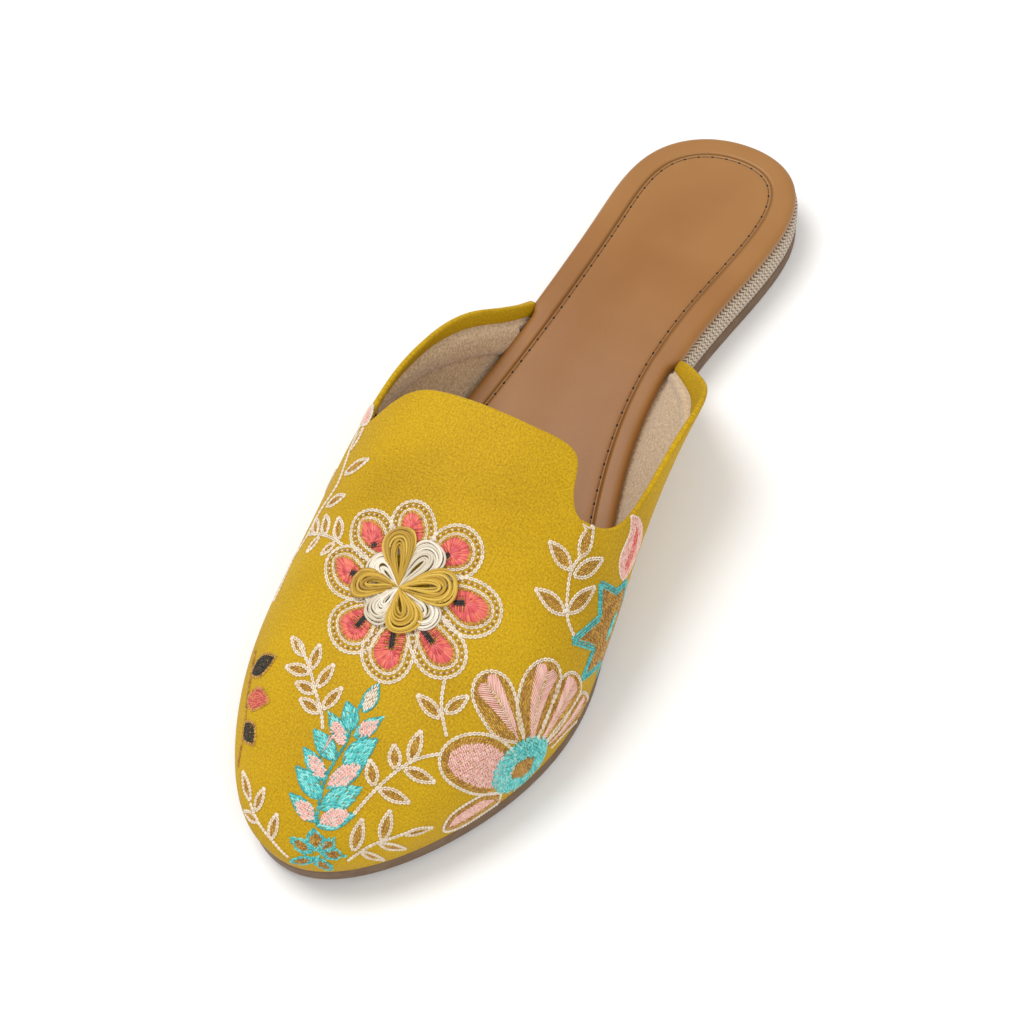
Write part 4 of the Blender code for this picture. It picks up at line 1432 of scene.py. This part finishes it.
def thread_finish(name, dark, middle, light, roughness=0.42):
    """Rayon embroidery thread: bright low sheen, each stitch a little darker or lighter."""
    material, tree, shader = new_material(name, roughness, IOR=1.5, Sheen_Weight=0.15, Sheen_Roughness=0.4)
    tone = add(tree, "Attribute", attribute_name="tone").outputs["Fac"]
    tree.links.new(ramp(tree, tone, (0.0, dark), (0.5, middle), (1.0, light)), shader.inputs["Base Color"])
    return material


def embroider(cloth):
    """All embroidery, gathered by thread, and the knot of yarn loops on the flower's middle."""
    finishes = {
        "cream": thread_finish("cream_thread", "#C2AE92", "#DCCCB5", "#ECE0CE"),
        "gold": thread_finish("gold_brown_thread", "#8A581A", "#B7862A", "#CFA440"),
        "coral": thread_finish("coral_thread", "#B4343A", "#D8595A", "#E58659"),
        "black": thread_finish("black_thread", "#16110E", "#241B16", "#3A2E26", 0.5),
        "turquoise": thread_finish("turquoise_thread", "#2F8F8E", "#4DBDB8", "#8FDDD6"),
        "pink": thread_finish("pink_thread", "#DA9C90", "#E6B3A6", "#EFC9BC"),
    }
    threads = {key: Thread(key + "_stitches", finish) for key, finish in finishes.items()}
    for stem, leaves in SPRIGS:
        embroider_sprig(threads, stem, leaves)
    embroider_flower(threads)
    embroider_feather(threads)
    embroider_fan(threads)
    embroider_star(threads)
    embroider_dark_leaves(threads)
    embroider_hidden_sprigs(threads)
    for thread in threads.values():
        thread.sew(cloth)
    yarn = thread_finish("mustard_yarn", "#96711A", "#C29A2C", "#DAB850", 0.7)
    pale = thread_finish("cream_yarn", "#B3A48A", "#D8CCB6", "#EBE2D2", 0.7)
    yarn_loops(cloth, "cream_yarn_loops", pale, CREAM_LOOPS, (0.3, 1.0))
    yarn_loops(cloth, "mustard_yarn_loops", yarn, MUSTARD_LOOPS, (0.1, 0.9))


# Camera, floor and light

# The photo's viewpoint on the shoe, its focal length and the shoe's middle in its pixels, and how
# much closer the view is drawn, turned to look at the shoe alone
CAMERA_PLACE = (0.28090, 0.18424, 0.49387)
CAMERA_RIGHT = (-0.455361, 0.890260, 0.009185)
CAMERA_UP = (-0.728650, -0.378587, 0.570738)
PHOTO_SIZE = 1024
PHOTO_FOCUS = 1707.5
SHOE_MIDDLE = (370.0, 543.0)
CLOSER = 1.30
SENSOR_WIDTH = 36.0

FLOOR_REACH = 3.0
SURROUND = 0.68
# Soft round lights: name, place, diameter and watts, all aimed at the shoe
LIGHTS = (
    ("key", (0.0, -0.50, 1.15), 0.7, 9.0),
    ("fill", (0.5, 0.7, 0.9), 0.8, 4.0),
)
LIGHT_AIM = (0, 0, 0.02)


def make_camera():
    """Aims at the shoe's middle in the photo: the view axes turned by the shortest way."""
    right, up = Vector(CAMERA_RIGHT), Vector(CAMERA_UP)
    axes = Matrix((right, up, right.cross(up))).transposed()
    half = PHOTO_SIZE / 2
    ahead = Vector((SHOE_MIDDLE[0] - half, half - SHOE_MIDDLE[1], -PHOTO_FOCUS)).normalized()
    turn = Vector((0, 0, -1)).rotation_difference(ahead).to_matrix()
    data = bpy.data.cameras.new("camera")
    data.sensor_width = SENSOR_WIDTH
    data.lens = PHOTO_FOCUS / PHOTO_SIZE * SENSOR_WIDTH * CLOSER
    data.clip_start = 0.01
    camera = bpy.data.objects.new("camera", data)
    camera.matrix_world = Matrix.Translation(CAMERA_PLACE) @ (axes @ turn).to_4x4()
    bpy.context.scene.collection.objects.link(camera)
    bpy.context.scene.camera = camera


def make_light(name, place, size, power):
    """A soft disc of light."""
    data = bpy.data.lights.new(name, "AREA")
    data.shape = "DISK"
    data.size = size
    data.energy = power
    light = bpy.data.objects.new(name, data)
    light.location = place
    light.rotation_euler = (Vector(LIGHT_AIM) - Vector(place)).to_track_quat("-Z", "Y").to_euler()
    bpy.context.scene.collection.objects.link(light)


def make_studio():
    """A pale floor, an even white surround, and the lights."""
    material, _, shader = new_material("pale_floor", 0.9)
    shader.inputs["Base Color"].default_value = linear("#F6F5F3")
    mesh = bpy.data.meshes.new("floor")
    corners = [(x * FLOOR_REACH, y * FLOOR_REACH, 0) for x, y in ((-1, -1), (1, -1), (1, 1), (-1, 1))]
    mesh.from_pydata(corners, [], [(0, 1, 2, 3)])
    mesh.materials.append(material)
    floor = bpy.data.objects.new("floor", mesh)
    bpy.context.scene.collection.objects.link(floor)
    world = bpy.data.worlds.new("studio")
    world.use_nodes = True
    background = world.node_tree.nodes["Background"]
    background.inputs["Color"].default_value = linear("#FFFFFF")
    background.inputs["Strength"].default_value = SURROUND
    bpy.context.scene.world = world
    for light in LIGHTS:
        make_light(*light)
    bpy.context.scene.view_settings.view_transform = "Standard"


def main():
    """Builds the shoe's pieces."""
    make_camera()
    make_studio()
    cloth = Cloth()
    make_upper_cloth(cloth, mustard_cloth())
    make_lining(cloth, beige_lining())
    embroider(cloth)
    make_sock(tan_sock())
    # The first finish here is near-black painted shade for the insides of the needle holes
    make_sock_stitches(thread_finish("painted_shade_in_holes", "#1C120B", "#1C120B", "#1C120B", 0.9),
                       thread_finish("brown_sock_thread", "#6A4322", "#8A5E34", "#A2774A", 0.6))
    make_wedge_band(woven_wedge())
    make_sole(brown_sole())


main()
